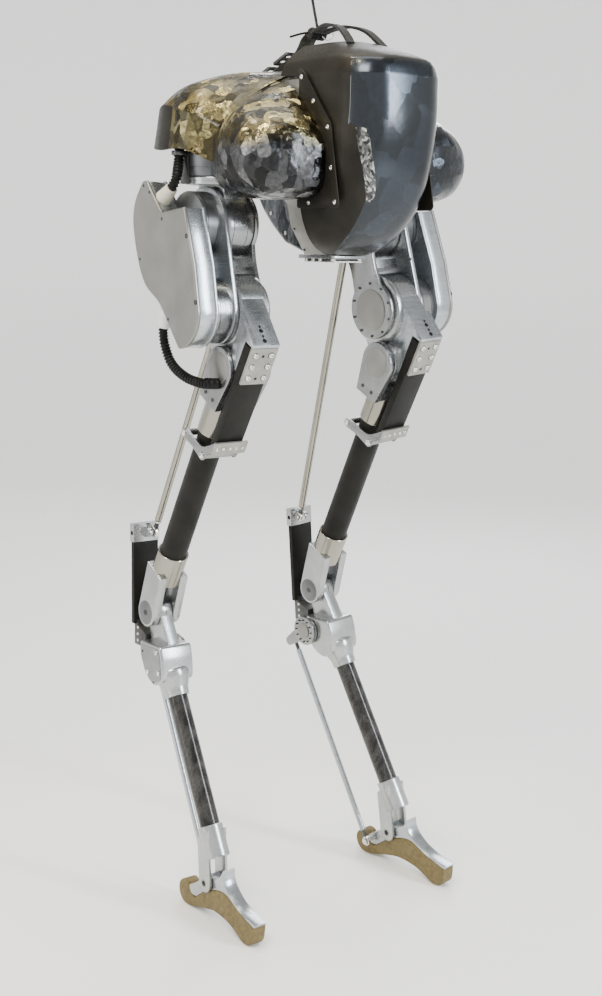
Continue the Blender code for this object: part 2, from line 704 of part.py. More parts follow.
# ---------------------------------------------------------------- hip
HIP_SHELL_SECTIONS = (
    (-0.008, (0.050, 0.112), (0.10, 0.088), (0.150, 0.055), (0.168, 0.035), (0.177, -0.012)),
    (0.030, (0.050, 0.116), (0.10, 0.108), (0.165, 0.085), (0.195, 0.055), (0.202, 0.006)),
    (0.080, (0.050, 0.116), (0.10, 0.112), (0.165, 0.092), (0.200, 0.065), (0.207, 0.006)),
    (0.125, (0.050, 0.107), (0.10, 0.100), (0.150, 0.080), (0.180, 0.055), (0.188, 0.012)),
    (0.142, (0.050, 0.082), (0.10, 0.075), (0.138, 0.060), (0.160, 0.045), (0.166, 0.018)))
"""Sections of the hip shell from its seam to the rear: y, then (sideways, up)."""


def hip_shell(leg):
    """The composite shell over the hip, open below; it rolls with the leg."""
    rows = [[(x, y, z) for x, z in row] for y, *row in HIP_SHELL_SECTIONS]
    skin = shell_solid(rows, 0.003, cap_last=True)
    leg.add("hip_shell", leg.pelvis_mesh(skin), "hip_roll", "forged_carbon")


def hip_roll_frame(leg):
    """The roll output plate with the upright yaw motor on it."""
    plate = cylinder_solid(0.036, (HIP_OUT, REAR_Y, 0.0), (HIP_OUT, 0.0062, 0.0))
    neck = box_solid((HIP_OUT - 0.029, 0.0040, -0.0274), (HIP_OUT + 0.029, 0.0300, 0.0290))
    motor = cylinder_solid(0.042, (HIP_OUT, YAW_BACK, -0.0277), (HIP_OUT, YAW_BACK, 0.050))
    cap = cylinder_solid(0.030, (HIP_OUT, YAW_BACK, 0.049), (HIP_OUT, YAW_BACK, 0.058))
    leg.add(
        "hip_roll_frame", leg.pelvis_mesh(plate), "hip_roll", "dark_metal",
        add=[leg.pelvis_mesh(motor), leg.pelvis_mesh(neck), leg.pelvis_mesh(cap)])


GLAND = (0.0575, -0.010, 0.0922)


def hip_yaw_hanger(leg):
    """The drum the thigh swings on, under its flange on the yaw motor, with the hose's ring."""
    drum = leg.disc((0.0, 0.0), 0.045, -0.029, 0.0155)
    neck = leg.plate([(-0.035, 0.028), (0.030, 0.028), (0.030, 0.054), (-0.035, 0.054)], -0.024, 0.012)
    upright = cylinder_solid(0.042, (0.0045, 0.0, 0.0512), (0.0045, 0.0, 0.0615))
    flange = leg.outward(upright, leg.leg_matrix())
    arm = leg.plate([(-0.020, 0.0520), (0.0, 0.0520), (0.0, 0.0952), (-0.020, 0.0952)], 0.0440, 0.0500)
    out, forward, up = GLAND
    ring = cylinder_solid(0.0105, (out, -forward, up - 0.003), (out, -forward, up + 0.003), 16)
    hole = cylinder_solid(HOSE_R + 0.0006, (out, -forward, 0.080), (out, -forward, 0.105), 16)
    relief = cylinder_solid(0.0426, (0.0045, 0.0, 0.0616), (0.0045, 0.0, 0.110), 32)
    leg.add(
        "hip_yaw_hanger", drum, "hip_yaw", "cast_aluminium",
        add=[neck, flange, arm, leg.outward(ring, leg.leg_matrix())],
        cut=[leg.outward(relief, leg.leg_matrix()), leg.outward(hole, leg.leg_matrix())])


# ---------------------------------------------------------------- thigh
COVER_OUTLINE = (
    (0.0496, -0.008), (-0.006, -0.013), (-0.0345, -0.0683), (-0.045, -0.069), (-0.071, -0.050),
    (-0.0845, -0.022), (-0.0855, 0.025), (-0.075, 0.066), (-0.0455, 0.098), (-0.029, 0.130),
    (-0.012, 0.166))
"""Thigh cover in (front, along) from the hip axis, from its front corner over the notch to the rear."""


class Thigh:
    """Turns (front, along) positions of a thigh into side-view points."""

    def __init__(self, leg):
        self.leg = leg

    def at(self, front, along):
        return tuple(along * down(self.leg.thigh_angle) + front * fore(self.leg.thigh_angle))

    def outline(self, points):
        return [self.at(*p) for p in points]


def thigh_cover(leg):
    """The big outer cover of the thigh, hollow inside."""
    thigh = Thigh(leg)
    low = circle((0.0, 0.12), 0.0495, 8, 106.0, 0.0)
    outline = list(COVER_OUTLINE) + low[1:] + [(0.0535, 0.07)]
    outline = [thigh.at(*p) for p in outline]
    area = sum(cross((0.0, 0.0), a, b) for a, b in zip(outline, outline[1:] + outline[:1]))
    outline = outline if area > 0 else outline[::-1]
    plate = leg.plate(outline, 0.0513, 0.085)
    pocket = leg.plate(offset_outline(outline, 0.0028), 0.045, 0.082)
    leg.add("thigh_cover", plate, "hip_pitch", "satin_aluminium", cut=[pocket])


def thigh_frame(leg):
    """The plate between the hip and the knee, with both motors on its outer side."""
    thigh = Thigh(leg)
    shape = hull(circle(thigh.at(0.0, 0.0), 0.0500, 22) + circle(thigh.at(0.0, 0.12), 0.0455, 22))
    plate = leg.plate(shape, 0.017, 0.0235)
    hip_motor = leg.disc(thigh.at(0.0, 0.0), 0.043, 0.023, 0.0508)
    knee_motor = leg.disc(thigh.at(0.0, 0.12), 0.0440, 0.023, 0.0508)
    leg.add("thigh_frame", plate, "hip_pitch", "dark_metal", add=[hip_motor, knee_motor])


def thigh_inner_cover(leg):
    """The inner plate of the thigh, with the bar that ties it to the frame and the rod's pin."""
    thigh = Thigh(leg)
    low, high = -0.0365, -0.0295
    hip_cap = leg.disc((0.0, 0.0), 0.045, low, high)
    knee_cap = leg.disc(thigh.at(0.0, 0.12), 0.043, low, high)
    neck = leg.plate(
        thigh.outline([(0.030, 0.02), (0.0255, 0.06), (0.030, 0.10), (-0.030, 0.10),
                       (-0.0255, 0.06), (-0.030, 0.02)]), low + 0.0005, high - 0.0005)
    bar = leg.plate(
        thigh.outline([(0.018, 0.0515), (0.018, 0.0635), (-0.018, 0.0635), (-0.018, 0.0515)]),
        high - 0.001, 0.0167)
    pin = leg.disc((0.0, 0.0), 0.004, -0.053, low + 0.001, 12)
    leg.add(
        "thigh_inner_cover", hip_cap, "hip_pitch", "satin_aluminium", add=[knee_cap, neck, bar, pin])


def hose_boot(leg):
    """The tapered boot where the upper hose enters the thigh cover's notch."""
    start, end = Vector((-0.0283, 0.0335)), Vector((-0.0194, 0.0416))
    boot = leg.bar(0.011, (0.0705, start), (0.0705, end), 16, 0.0085)
    leg.add("hose_boot", boot, "hip_pitch", "cream_plastic")


def hose_upper(leg):
    """The hose from the ring at the hip down to the boot."""
    route = [
        (0.0705, -0.0174, 0.0434), (0.0700, -0.0138, 0.0475), (0.0650, -0.0108, 0.0640),
        (0.0582, -0.0100, 0.0830), (GLAND[0], GLAND[1], 0.0960)]
    leg.add("hose_upper", leg.hose(route, HOSE_R), "hip_yaw", "black_rubber")


def hose_lower(leg):
    """The gland at the cover's rear edge and the hose that loops round to the shin."""
    gland = leg.bar(0.0105, (0.068, Vector((-0.0153, -0.1120))), (0.068, Vector((-0.0283, -0.1240))), 14)
    route = [
        (0.068, -0.0270, -0.1230), (0.0675, -0.0340, -0.1400), (0.0665, -0.0320, -0.1640),
        (0.0630, -0.0190, -0.1900), (0.0560, 0.0040, -0.2060), (0.0460, 0.0270, -0.2130),
        (0.0365, 0.0435, -0.2135), (0.0285, 0.0435, -0.2135)]
    leg.add("hose_lower", leg.hose(route, HOSE_R), "hip_pitch", "black_rubber", add=[gland])


# ---------------------------------------------------------------- shin
KNEE_ARM_SIDE = (
    (-0.048, 0.012), (-0.008, 0.0965), (-0.003, 0.0965), (-0.003, 0.078), (0.055, 0.078),
    (0.082, 0.070), (0.088, 0.055), (0.078, 0.026), (0.040, -0.020), (-0.020, -0.020))
LEAF_FACE, LEAF_FRONT, LEAF_END = 0.0785, 0.0925, 0.175


class Link:
    """Turns (along, front) positions of the shin's or the tarsus's link into side-view points."""

    def __init__(self, origin, angle):
        self.origin = origin
        self.angle = angle

    def at(self, along, front):
        return tuple(on_link(self.origin, self.angle, (along, front)))

    def outline(self, points):
        return [self.at(*p) for p in points]


def knee_arm(leg):
    """The casting on the knee's output, with the seat of the leaf spring and the shin's pivot."""
    link = Link(leg.knee, leg.knee_angle)
    hub = leg.disc(leg.knee, 0.050, -0.0285, 0.0155, 24)
    web = leg.plate(link.outline(KNEE_ARM_SIDE), -0.0217, 0.0150)
    seat = leg.plate(
        link.outline([(-0.0266, 0.056), (-0.008, 0.0963), (-0.0032, 0.0963), (-0.0032, 0.0778),
                      (0.0450, 0.0778), (0.028, 0.056)]), -0.0220, 0.0220)
    pivot = leg.disc(leg.shin_top, 0.028, -0.0285, 0.0155)
    leg.add("knee_arm", hub, "knee", "cast_aluminium", add=[web, seat, pivot])


def leaf_spring(leg):
    """The thick leaf spring in front of the shin."""
    link = Link(leg.knee, leg.knee_angle)
    outline = [(0.0, LEAF_FACE), (0.0, LEAF_FRONT), (LEAF_END, LEAF_FRONT - 0.003), (LEAF_END, LEAF_FACE)]
    leg.add("leaf_spring", leg.plate(link.outline(outline), -0.0220, 0.0220), "knee", "matte_composite")


def leaf_clamp(leg):
    """The plate with six screws that holds the leaf spring on its seat."""
    link = Link(leg.knee, leg.knee_angle)
    face = LEAF_FRONT + GAP
    plate = leg.plate(
        link.outline([(-0.0026, face), (-0.0026, face + 0.004), (0.0545, face + 0.004), (0.0545, face)]),
        -0.0215, 0.0215)
    screws = []
    for along in (0.008, 0.026, 0.044):
        for out in (-0.0125, 0.0125):
            ends = [link.at(along, face + reach) for reach in (0.003, 0.0062)]
            screws.append(leg.bar(0.0042, (out, ends[0]), (out, ends[1]), 8, 0.0032))
    leg.add("leaf_clamp", plate, "knee", "cast_aluminium", add=screws)


def leaf_link(leg):
    """The shackle at the leaf's lower end, with a roller on each side of the shin tube."""
    link = Link(leg.knee, leg.knee_angle)
    face = LEAF_FRONT + GAP
    strip = leg.plate(
        link.outline([(0.152, face), (0.152, face + 0.003), (0.1735, face + 0.003), (0.1735, face)]),
        -0.0278, 0.0278)
    side = link.outline([(0.154, face + 0.001), (0.172, face + 0.001), (0.200, 0.078), (0.200, 0.016),
                         (0.177, 0.016), (0.176, 0.060)])
    cheeks = [leg.plate(side, 0.0242, 0.0282), leg.plate(side, -0.0282, -0.0242)]
    rollers = [leg.disc(link.at(0.188, front), 0.005, -0.025, 0.025, 12) for front in (0.0765, 0.0230)]
    leg.add("leaf_link", strip, "knee", "dark_metal", add=cheeks + rollers)


def shin_point(leg, along, front=0.0):
    """A side-view point of the shin tube's axis."""
    across = Vector((-leg.shin_axis.y, leg.shin_axis.x))
    return leg.shin_top + along * leg.shin_axis + front * across


def shin_tube(leg):
    mesh = leg.tube(SHIN_R, SHIN_R - SHIN_WALL, shin_point(leg, 0.0585), shin_point(leg, 0.345))
    leg.add("shin_tube", mesh, "knee", "matte_composite")


def shin_top_fitting(leg):
    """The clevis round the shin's pivot, with the sleeve that holds the tube."""
    arm = hull(circle(leg.shin_top, 0.030, 16) + [
        tuple(shin_point(leg, 0.058, 0.021)), tuple(shin_point(leg, 0.058, -0.021))])
    outer = leg.plate(arm, 0.0165, 0.0270)
    inner = leg.plate(arm, -0.0410, -0.0300)
    bridge = leg.plate(
        [tuple(shin_point(leg, *p)) for p in ((0.0345, 0.020), (0.0345, -0.020), (0.0575, -0.020),
                                              (0.0575, 0.020))], -0.0405, 0.0265)
    sleeve = leg.tube(SHIN_SLEEVE_R, SHIN_BORE_R, shin_point(leg, 0.0560), shin_point(leg, 0.107))
    leg.add("shin_top_fitting", outer, "knee", "satin_aluminium", add=[inner, bridge, sleeve])


def shin_fork(leg):
    """The sleeve at the shin's foot, with the two lugs that carry the tarsus."""
    sleeve = leg.socket(
        SHIN_SLEEVE_R, SHIN_BORE_R, shin_point(leg, 0.320), 0.0255, shin_point(leg, 0.387))
    lug = hull(circle(leg.tarsus, 0.022, 16) + [
        tuple(shin_point(leg, 0.362, 0.0215)), tuple(shin_point(leg, 0.362, -0.0215))])
    lugs = [leg.plate(lug, 0.0115, 0.0245), leg.plate(lug, -0.0245, -0.0115)]
    slot = leg.disc(leg.tarsus, 0.056, -0.0114, 0.0114, 28)
    leg.add("shin_fork", sleeve, "knee", "satin_aluminium", add=lugs, cut=[slot])


def achilles_rod(leg):
    """The thin rod from the hip to the heel spring."""
    top_out, low_out = -0.0465, -0.010
    run = (leg.spring_tip - leg.hip)
    reach = run.length
    step = run / reach
    top = leg.ring(leg.hip, 0.009, 0.0045, top_out - 0.004, top_out + 0.004)
    low = leg.ring(leg.spring_tip, 0.008, 0.0036, low_out - 0.005, low_out + 0.005)
    ends = []
    for along in (0.0068, reach - 0.0060):
        ends.append((top_out + (low_out - top_out) * along / reach, leg.hip + step * along))
    rod = leg.bar(ROD_R, ends[0], ends[1], 12)
    leg.add("achilles_rod", top, "achilles", "polished_steel", add=[rod, low])


# ---------------------------------------------------------------- tarsus
TARSUS_SIDE = (
    (0.034, -0.033), (0.055, -0.042), (0.082, -0.042), (0.097, -0.036), (0.116, -0.024),
    (0.116, 0.004), (0.106, 0.008), (0.079, 0.017), (0.060, 0.021), (0.050, -0.001))
TUBE_BACK = -0.010


def tarsus_body(leg):
    """The casting below the tarsus joint: hub, neck, foot motor housing and the tube's sleeve."""
    link = Link(leg.tarsus, leg.tarsus_angle)
    hub = leg.disc(leg.tarsus, 0.0205, -0.0108, 0.0108, 20)
    neck = leg.plate(link.outline([(0.0, -0.017), (0.0, 0.015), (0.060, 0.017), (0.060, -0.036)]),
                     -0.0106, 0.0106)
    casting = leg.plate(link.outline(rounded(TARSUS_SIDE, 0.005, 2)), -0.0280, 0.0280)
    sleeve = leg.tube(
        TARSUS_SLEEVE_R, TARSUS_BORE_R, Vector(link.at(0.108, TUBE_BACK)), Vector(link.at(0.133, TUBE_BACK)))
    bolts = [leg.disc(link.at(*p), 0.0042, 0.0275, 0.0305, 8)
             for p in ((0.0850, -0.0300), (0.0650, 0.0080), (0.0950, 0.0000))]
    bore = leg.bar(
        TARSUS_BORE_R, (0.0, Vector(link.at(0.1147, TUBE_BACK))), (0.0, Vector(link.at(0.140, TUBE_BACK))))
    leg.add("tarsus_body", hub, "tarsus", "cast_aluminium", add=[neck, casting, sleeve, *bolts],
            cut=[bore])


def heel_spring(leg):
    """The upright leaf behind the tarsus joint, with its foot on the casting and the rod's pin."""
    shift = leg.tarsus - Vector((-0.1583, -0.5787))

    def at(forward, up):
        return (forward + shift[0], up + shift[1])

    rear, front = -0.2065, -0.1985
    upper = leg.plate([at(rear, -0.606), at(front, -0.606), at(front, -0.468), at(rear, -0.468)],
                      -0.0215, 0.0215)
    lower = leg.plate([at(rear - 0.0005, -0.640), at(-0.1722, -0.640), at(-0.1738, -0.618),
                       at(front + 0.0005, -0.608), at(front + 0.0005, -0.600), at(rear - 0.0005, -0.600)],
                      -0.0160, 0.0160)
    clamp = leg.plate([at(rear - 0.003, -0.486), at(front + 0.0005, -0.486), at(front + 0.0005, -0.446),
                       at(rear - 0.003, -0.446)], -0.0225, 0.0225)
    arm = [tuple(leg.spring_tip + Vector(p)) for p in ((-0.0050, 0.006), (-0.0050, -0.006))]
    lug = leg.plate(hull(circle(leg.spring_tip, 0.0065, 12) + arm + [at(-0.200, -0.455), at(-0.200, -0.472)]),
                    -0.0036, 0.0036)
    pin = leg.disc(leg.spring_tip, PIN_R, -0.0160, -0.003, 10)
    leg.add("heel_spring", upper, "tarsus", "matte_composite", add=[lower, clamp, lug, pin])


def tarsus_tube(leg):
    link = Link(leg.tarsus, leg.tarsus_angle)
    ends = [Vector(link.at(along, TUBE_BACK)) for along in (0.115, 0.352)]
    leg.add("tarsus_tube", leg.tube(TARSUS_R, TARSUS_R - TARSUS_WALL, *ends), "tarsus", "forged_carbon")


def ankle_fork(leg):
    """The sleeve at the tube's foot, with the two lugs of the ankle."""
    link = Link(leg.tarsus, leg.tarsus_angle)
    ends = [Vector(link.at(along, TUBE_BACK)) for along in (0.330, 0.378)]
    sleeve = leg.socket(TARSUS_SLEEVE_R, TARSUS_BORE_R, ends[0], 0.0223, ends[1])
    lug = hull(circle(leg.ankle, 0.012, 14) + [link.at(0.356, 0.0055), link.at(0.362, -0.0270)])
    lugs = [leg.plate(lug, 0.0115, 0.0165), leg.plate(lug, -0.0165, -0.0115)]
    slot = leg.disc(leg.ankle, 0.0555, -0.0113, 0.0113, 28)
    leg.add("ankle_fork", sleeve, "tarsus", "cast_aluminium", add=lugs, cut=[slot])


def foot_crank(leg):
    """The foot motor's output disc on the inner side, with the lever that drives the rod."""
    disc = leg.disc(leg.crank, 0.024, -0.0375, -0.0293, 20)
    cap = leg.disc(leg.crank, 0.013, -0.0395, -0.0370, 16)
    lever = leg.plate(hull(circle(leg.crank, 0.014, 16) + circle(leg.crank_pin, 0.0075, 14)),
                      -0.0345, -0.0295)
    pin = leg.disc(leg.crank_pin, PIN_R, -0.0300, -0.0170, 12)
    leg.add("foot_crank", disc, "foot_crank", "satin_aluminium", add=[cap, lever, pin])


def plantar_rod(leg):
    """The rod from the crank down to the back of the foot."""
    out = -0.0215
    run = leg.foot_pin - leg.crank_pin
    step = run.normalized()
    eyes = [leg.ring(p, 0.0075, 0.0036, out - 0.004, out + 0.004) for p in (leg.crank_pin, leg.foot_pin)]
    rod = leg.bar(PLANTAR_R, (out, leg.crank_pin + step * 0.0056), (out, leg.foot_pin - step * 0.0056), 12)
    leg.add("plantar_rod", eyes[0], "plantar", "satin_aluminium", add=[rod, eyes[1]])


# ---------------------------------------------------------------- foot
BLADE_TOP = (
    (0.041, 0.033), (0.045, 0.014), (0.064, -0.003), (0.088, -0.0135), (0.125, -0.018))
BLADE_BOTTOM = (
    (0.1215, -0.0233), (0.103, -0.0187), (0.069, -0.0077), (0.043, 0.0003), (0.005, -0.0098),
    (-0.020, -0.0262), (-0.031, -0.0345))
BLADE_TAIL = (
    (-0.0425, -0.0360), (-0.0490, -0.0331), (-0.0510, -0.0275), (-0.0485, -0.0215),
    (-0.0400, -0.0180), (-0.0130, 0.0020), (-0.0085, 0.0070), (-0.0020, 0.0112), (0.0120, 0.0110),
    (0.0330, 0.0200))
SOLE_SIDE = (
    (-0.060, -0.0570), (-0.045, -0.0545), (-0.020, -0.0420), (0.018, -0.0290), (0.053, -0.0320),
    (0.075, -0.0430), (0.090, -0.0543), (0.100, -0.0570), (0.110, -0.0543), (0.1173, -0.0470),
    (0.1200, -0.0370), (0.1215, -0.0238), (0.103, -0.0191), (0.069, -0.0081), (0.043, -0.0001),
    (0.005, -0.0102), (-0.020, -0.0267), (-0.0312, -0.0352), (-0.0370, -0.0380),
    (-0.0425, -0.0367), (-0.0497, -0.0336), (-0.0518, -0.0275), (-0.0545, -0.0215),
    (-0.064, -0.0190), (-0.0725, -0.0225), (-0.0785, -0.0295), (-0.080, -0.0370),
    (-0.0785, -0.0447), (-0.0741, -0.0511), (-0.0677, -0.0555))


def foot_outline(leg, points):
    turn = Matrix.Rotation(leg.foot_turn, 2)
    return [tuple(leg.ankle + turn @ Vector(p)) for p in points]


def foot_blade(leg):
    """The thin upright blade of the foot, with the ankle eye and the rod's pin."""
    outline = foot_outline(leg, BLADE_TOP + BLADE_BOTTOM + BLADE_TAIL)
    blade = leg.plate(outline, -0.0105, 0.0105)
    pin = leg.disc(leg.foot_pin, PIN_R, -0.0265, -0.0100, 12)
    leg.add("foot_blade", blade, "foot", "satin_aluminium", add=[pin])


def foot_sole(leg):
    """The moulded rubber sole, with a rounded heel and toe and a raised arch."""
    leg.add("foot_sole", leg.plate(foot_outline(leg, SOLE_SIDE), -0.0112, 0.0112), "foot", "olive_rubber")


LEG_PIECES = (
    roll_cover, hip_shell, hip_roll_frame, hip_yaw_hanger, thigh_cover, thigh_frame,
    thigh_inner_cover, hose_boot, hose_upper, hose_lower, knee_arm, leaf_spring, leaf_clamp,
    leaf_link, shin_tube, shin_top_fitting, shin_fork, achilles_rod, tarsus_body, heel_spring,
    tarsus_tube, ankle_fork, foot_crank, plantar_rod, foot_blade, foot_sole)
TORSO_PIECES = (
    torso_front_shell, pelvis_frame, torso_rear_shell, underside_bracket, lifting_strap,
    strap_buckle, tether, tether_hook)


def build():
    clear_scene()
    robot = Robot()
    robot.frame("pelvis", None, (0.0, 0.0, 0.0))
    for piece in TORSO_PIECES:
        piece(robot)
    for side in SIDES:
        leg = Leg(robot, side)
        for piece in LEG_PIECES:
            piece(leg)
    robot.frames["pelvis"].location = (*CENTRING, PELVIS_HEIGHT)


build()
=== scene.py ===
"""Looks of the two-legged walking robot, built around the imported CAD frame.

Metres. +Z is up, the robot faces -Y and its left side is +X. A piece is drawn either around the
pelvis origin or in a leg's own axes (outward, back, up from the hip pitch axis), then placed.
"""

import math

import bmesh
import bpy
from mathutils import Matrix, Vector


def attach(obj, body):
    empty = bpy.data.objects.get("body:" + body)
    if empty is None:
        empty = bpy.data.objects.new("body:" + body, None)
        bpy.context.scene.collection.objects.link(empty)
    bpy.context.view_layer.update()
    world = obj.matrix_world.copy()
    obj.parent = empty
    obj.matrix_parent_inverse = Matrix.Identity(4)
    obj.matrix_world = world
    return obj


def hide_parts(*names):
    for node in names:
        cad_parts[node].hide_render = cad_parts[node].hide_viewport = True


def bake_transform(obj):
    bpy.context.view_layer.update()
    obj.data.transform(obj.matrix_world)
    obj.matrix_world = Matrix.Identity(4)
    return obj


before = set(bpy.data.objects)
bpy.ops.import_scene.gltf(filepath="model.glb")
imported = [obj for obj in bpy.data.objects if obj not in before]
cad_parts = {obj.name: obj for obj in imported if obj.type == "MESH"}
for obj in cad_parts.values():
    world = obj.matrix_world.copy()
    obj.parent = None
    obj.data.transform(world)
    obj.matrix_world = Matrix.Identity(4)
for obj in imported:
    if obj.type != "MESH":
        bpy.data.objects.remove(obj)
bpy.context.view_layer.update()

# Leg geometry, as the CAD has it.
PELVIS = Vector((-0.0118, -0.0350, 1.1047))
HIP_OUT, ROLL_FORWARD, YAW_BACK = 0.135, 0.021, 0.049
LEG_PLANE_OUT, HIP_DROP, THIGH = 0.1305, 0.09, 0.12
SHIN_PIVOT, TARSUS_JOINT = (0.06068, 0.04741), (0.43476, 0.02)
CRANK_AXIS, ANKLE, CRANK_PIN = (0.058, -0.034), (0.408, -0.04), (-0.0425, -0.0275)
HIP_PITCH, SPRING_ANGLE, SHIN_LEAN = 15.0, 13.0, 0.012
KNEE = {"left": -44.34, "right": -45.0}
FOOT = {"left": -78.35, "right": -78.0}
ROLL = {"left": 4.5, "right": 0.0}
YAW = {"left": 4.5, "right": 0.0}
SIDES = {"left": 1, "right": -1}
SIDE_VIEW = Matrix(((0, 0, 1, 0), (-1, 0, 0, 0), (0, 1, 0, 0), (0, 0, 0, 1)))
FRONT_VIEW = Matrix(((1, 0, 0, 0), (0, 0, 1, 0), (0, 1, 0, 0), (0, 0, 0, 1)))
FLANK_VIEW = Matrix(((0, 0, 1, 0), (1, 0, 0, 0), (0, 1, 0, 0), (0, 0, 0, 1)))


# ---------------------------------------------------------------- camera, lights, floor
CAMERA_PLACE = (-1.2354, -1.6706, 0.9967)
CAMERA_ANGLES = (-36.3689, 10.186, 1.0088)  # azimuth, elevation, roll
LENS_MM, SENSOR_MM = 52.108, 36.0
FLOOR_REACH, FLOOR_BEND, WALL_TOP = 6.0, 1.0, 4.0


def make_camera():
    azimuth, elevation, roll = (math.radians(v) for v in CAMERA_ANGLES)
    back = Vector((math.sin(azimuth) * math.cos(elevation),
                   -math.cos(azimuth) * math.cos(elevation), math.sin(elevation)))
    right = Vector((math.cos(azimuth), math.sin(azimuth), 0.0))
    up = back.cross(right)
    across = math.cos(roll) * right + math.sin(roll) * up
    upright = -math.sin(roll) * right + math.cos(roll) * up
    data = bpy.data.cameras.new("camera")
    data.lens = LENS_MM
    data.sensor_width = SENSOR_MM
    data.clip_start, data.clip_end = 0.05, 60.0
    camera = bpy.data.objects.new("camera", data)
    axes = Matrix((across, upright, back)).transposed().to_4x4()
    camera.matrix_world = Matrix.Translation(CAMERA_PLACE) @ axes
    bpy.context.scene.collection.objects.link(camera)
    bpy.context.scene.camera = camera


def area_light(name, place, target, size, power, colour=(1.0, 1.0, 1.0)):
    data = bpy.data.lights.new(name, "AREA")
    data.shape = "RECTANGLE"
    data.size, data.size_y = size
    data.energy = power
    data.color = colour
    light = bpy.data.objects.new(name, data)
    light.location = place
    light.rotation_mode = "QUATERNION"
    light.rotation_quaternion = (Vector(target) - Vector(place)).to_track_quat("-Z", "Y")
    bpy.context.scene.collection.objects.link(light)


def make_lights():
    aim = (0.0, 0.0, 0.8)
    area_light("key", (-1.9, -1.3, 2.9), aim, (1.2, 0.9), 80.0, (1.0, 0.985, 0.95))
    area_light("front_right", (1.30, -2.7, 1.7), aim, (0.42, 1.9), 105.0, (0.84, 0.92, 1.0))
    area_light("left_fill", (-3.0, 0.7, 1.2), aim, (1.2, 2.0), 26.0)
    area_light("rim", (1.9, 1.9, 2.0), aim, (1.0, 1.6), 40.0, (0.95, 0.97, 1.0))
    area_light("ceiling", (0.1, 0.2, 3.3), aim, (2.0, 2.0), 60.0, (1.0, 0.98, 0.93))
    for i, (x, y) in enumerate(((-1.0, -0.3), (-0.5, 0.4), (-1.4, 0.3))):
        area_light(f"spot_{i}", (x, y, 2.6), aim, (0.15, 0.15), 8.0, (1.0, 0.86, 0.58))
    world = bpy.data.worlds.new("studio")
    world.use_nodes = True
    tree = world.node_tree
    place = add_node(tree, "TexCoord").outputs["Generated"]
    height = add_node(tree, "SeparateXYZ", {0: place}).outputs["Z"]
    sky = add_ramp(tree, height, [(0.0, (0.30, 0.30, 0.31)), (1.0, (1.0, 0.99, 0.96))])
    set_inputs(tree, tree.nodes["Background"], {"Strength": 0.72, "Color": sky})
    bpy.context.scene.world = world


def make_floor():
    """A pale round floor that curves up into a pale wall far out on every side; the far floor and wall glow
    faintly, painted light.
    """
    profile = [(radius, 0.0) for radius in (0.0, 0.5, 1.0, 2.0, 4.0, FLOOR_REACH)]
    turns = [math.radians(9 * i) for i in range(1, 11)]
    profile += [(FLOOR_REACH + FLOOR_BEND * math.sin(t), FLOOR_BEND * (1 - math.cos(t))) for t in turns]
    profile += [(FLOOR_REACH + FLOOR_BEND, WALL_TOP)]
    mesh = lathe(profile, Matrix.Translation((PELVIS.x, PELVIS.y, 0.0)), 64)
    mesh.flip_normals()
    mesh.shade_smooth()
    floor = bpy.data.objects.new("floor", mesh)
    bpy.context.scene.collection.objects.link(floor)
    material, tree, shader = new_material("floor_paint_and_glow")
    place = add_node(tree, "TexCoord").outputs["Object"]
    reach = add_node(tree, "VectorMath", {0: place}, operation="LENGTH").outputs["Value"]
    tone = add_ramp(tree, reach, [(0.48, (0.93, 0.92, 0.88)), (0.85, (0.84, 0.84, 0.84))])
    # Painted light: the emission rises with distance, so the far floor and the wall glow though they are no
    # lamp.
    glow = add_node(tree, "MapRange", {
        "From Min": 0.6, "From Max": 3.5, "To Max": 0.40, "Value": reach})
    set_inputs(tree, shader, {
        "Roughness": 0.6, "Base Color": tone, "Emission Color": (1.0, 1.0, 0.99, 1.0),
        "Emission Strength": glow.outputs[0]})
    mesh.materials.append(material)


# ---------------------------------------------------------------- materials
def add_node(tree, kind, inputs=(), **settings):
    """A shader node. An input is given a value, or the output socket that feeds it."""
    node = tree.nodes.new("ShaderNode" + kind)
    for key, value in settings.items():
        setattr(node, key, value)
    set_inputs(tree, node, inputs)
    return node


def set_inputs(tree, node, inputs):
    for key, value in dict(inputs).items():
        if isinstance(value, bpy.types.NodeSocket):
            tree.links.new(value, node.inputs[key])
        else:
            node.inputs[key].default_value = value


def add_ramp(tree, factor, stops):
    """A colour ramp through (position, colour) stops: its first, its last, then those between."""
    ramp = add_node(tree, "ValToRGB", {0: factor})
    for element, (position, colour) in zip(ramp.color_ramp.elements, stops):
        element.position = position
        element.color = (*colour, 1.0)
    for position, colour in stops[2:]:
        ramp.color_ramp.elements.new(position).color = (*colour, 1.0)
    return ramp.outputs[0]


def new_material(name):
    """A new material's node tree and shader."""
    material = bpy.data.materials.new(name)
    material.use_nodes = True
    return material, material.node_tree, material.node_tree.nodes["Principled BSDF"]


COAT_ROUGHNESS, GRAIN_DEPTH = 0.12, 0.0006
DULL_SPECULAR, DULL_BELOW = 0.12, 0.1


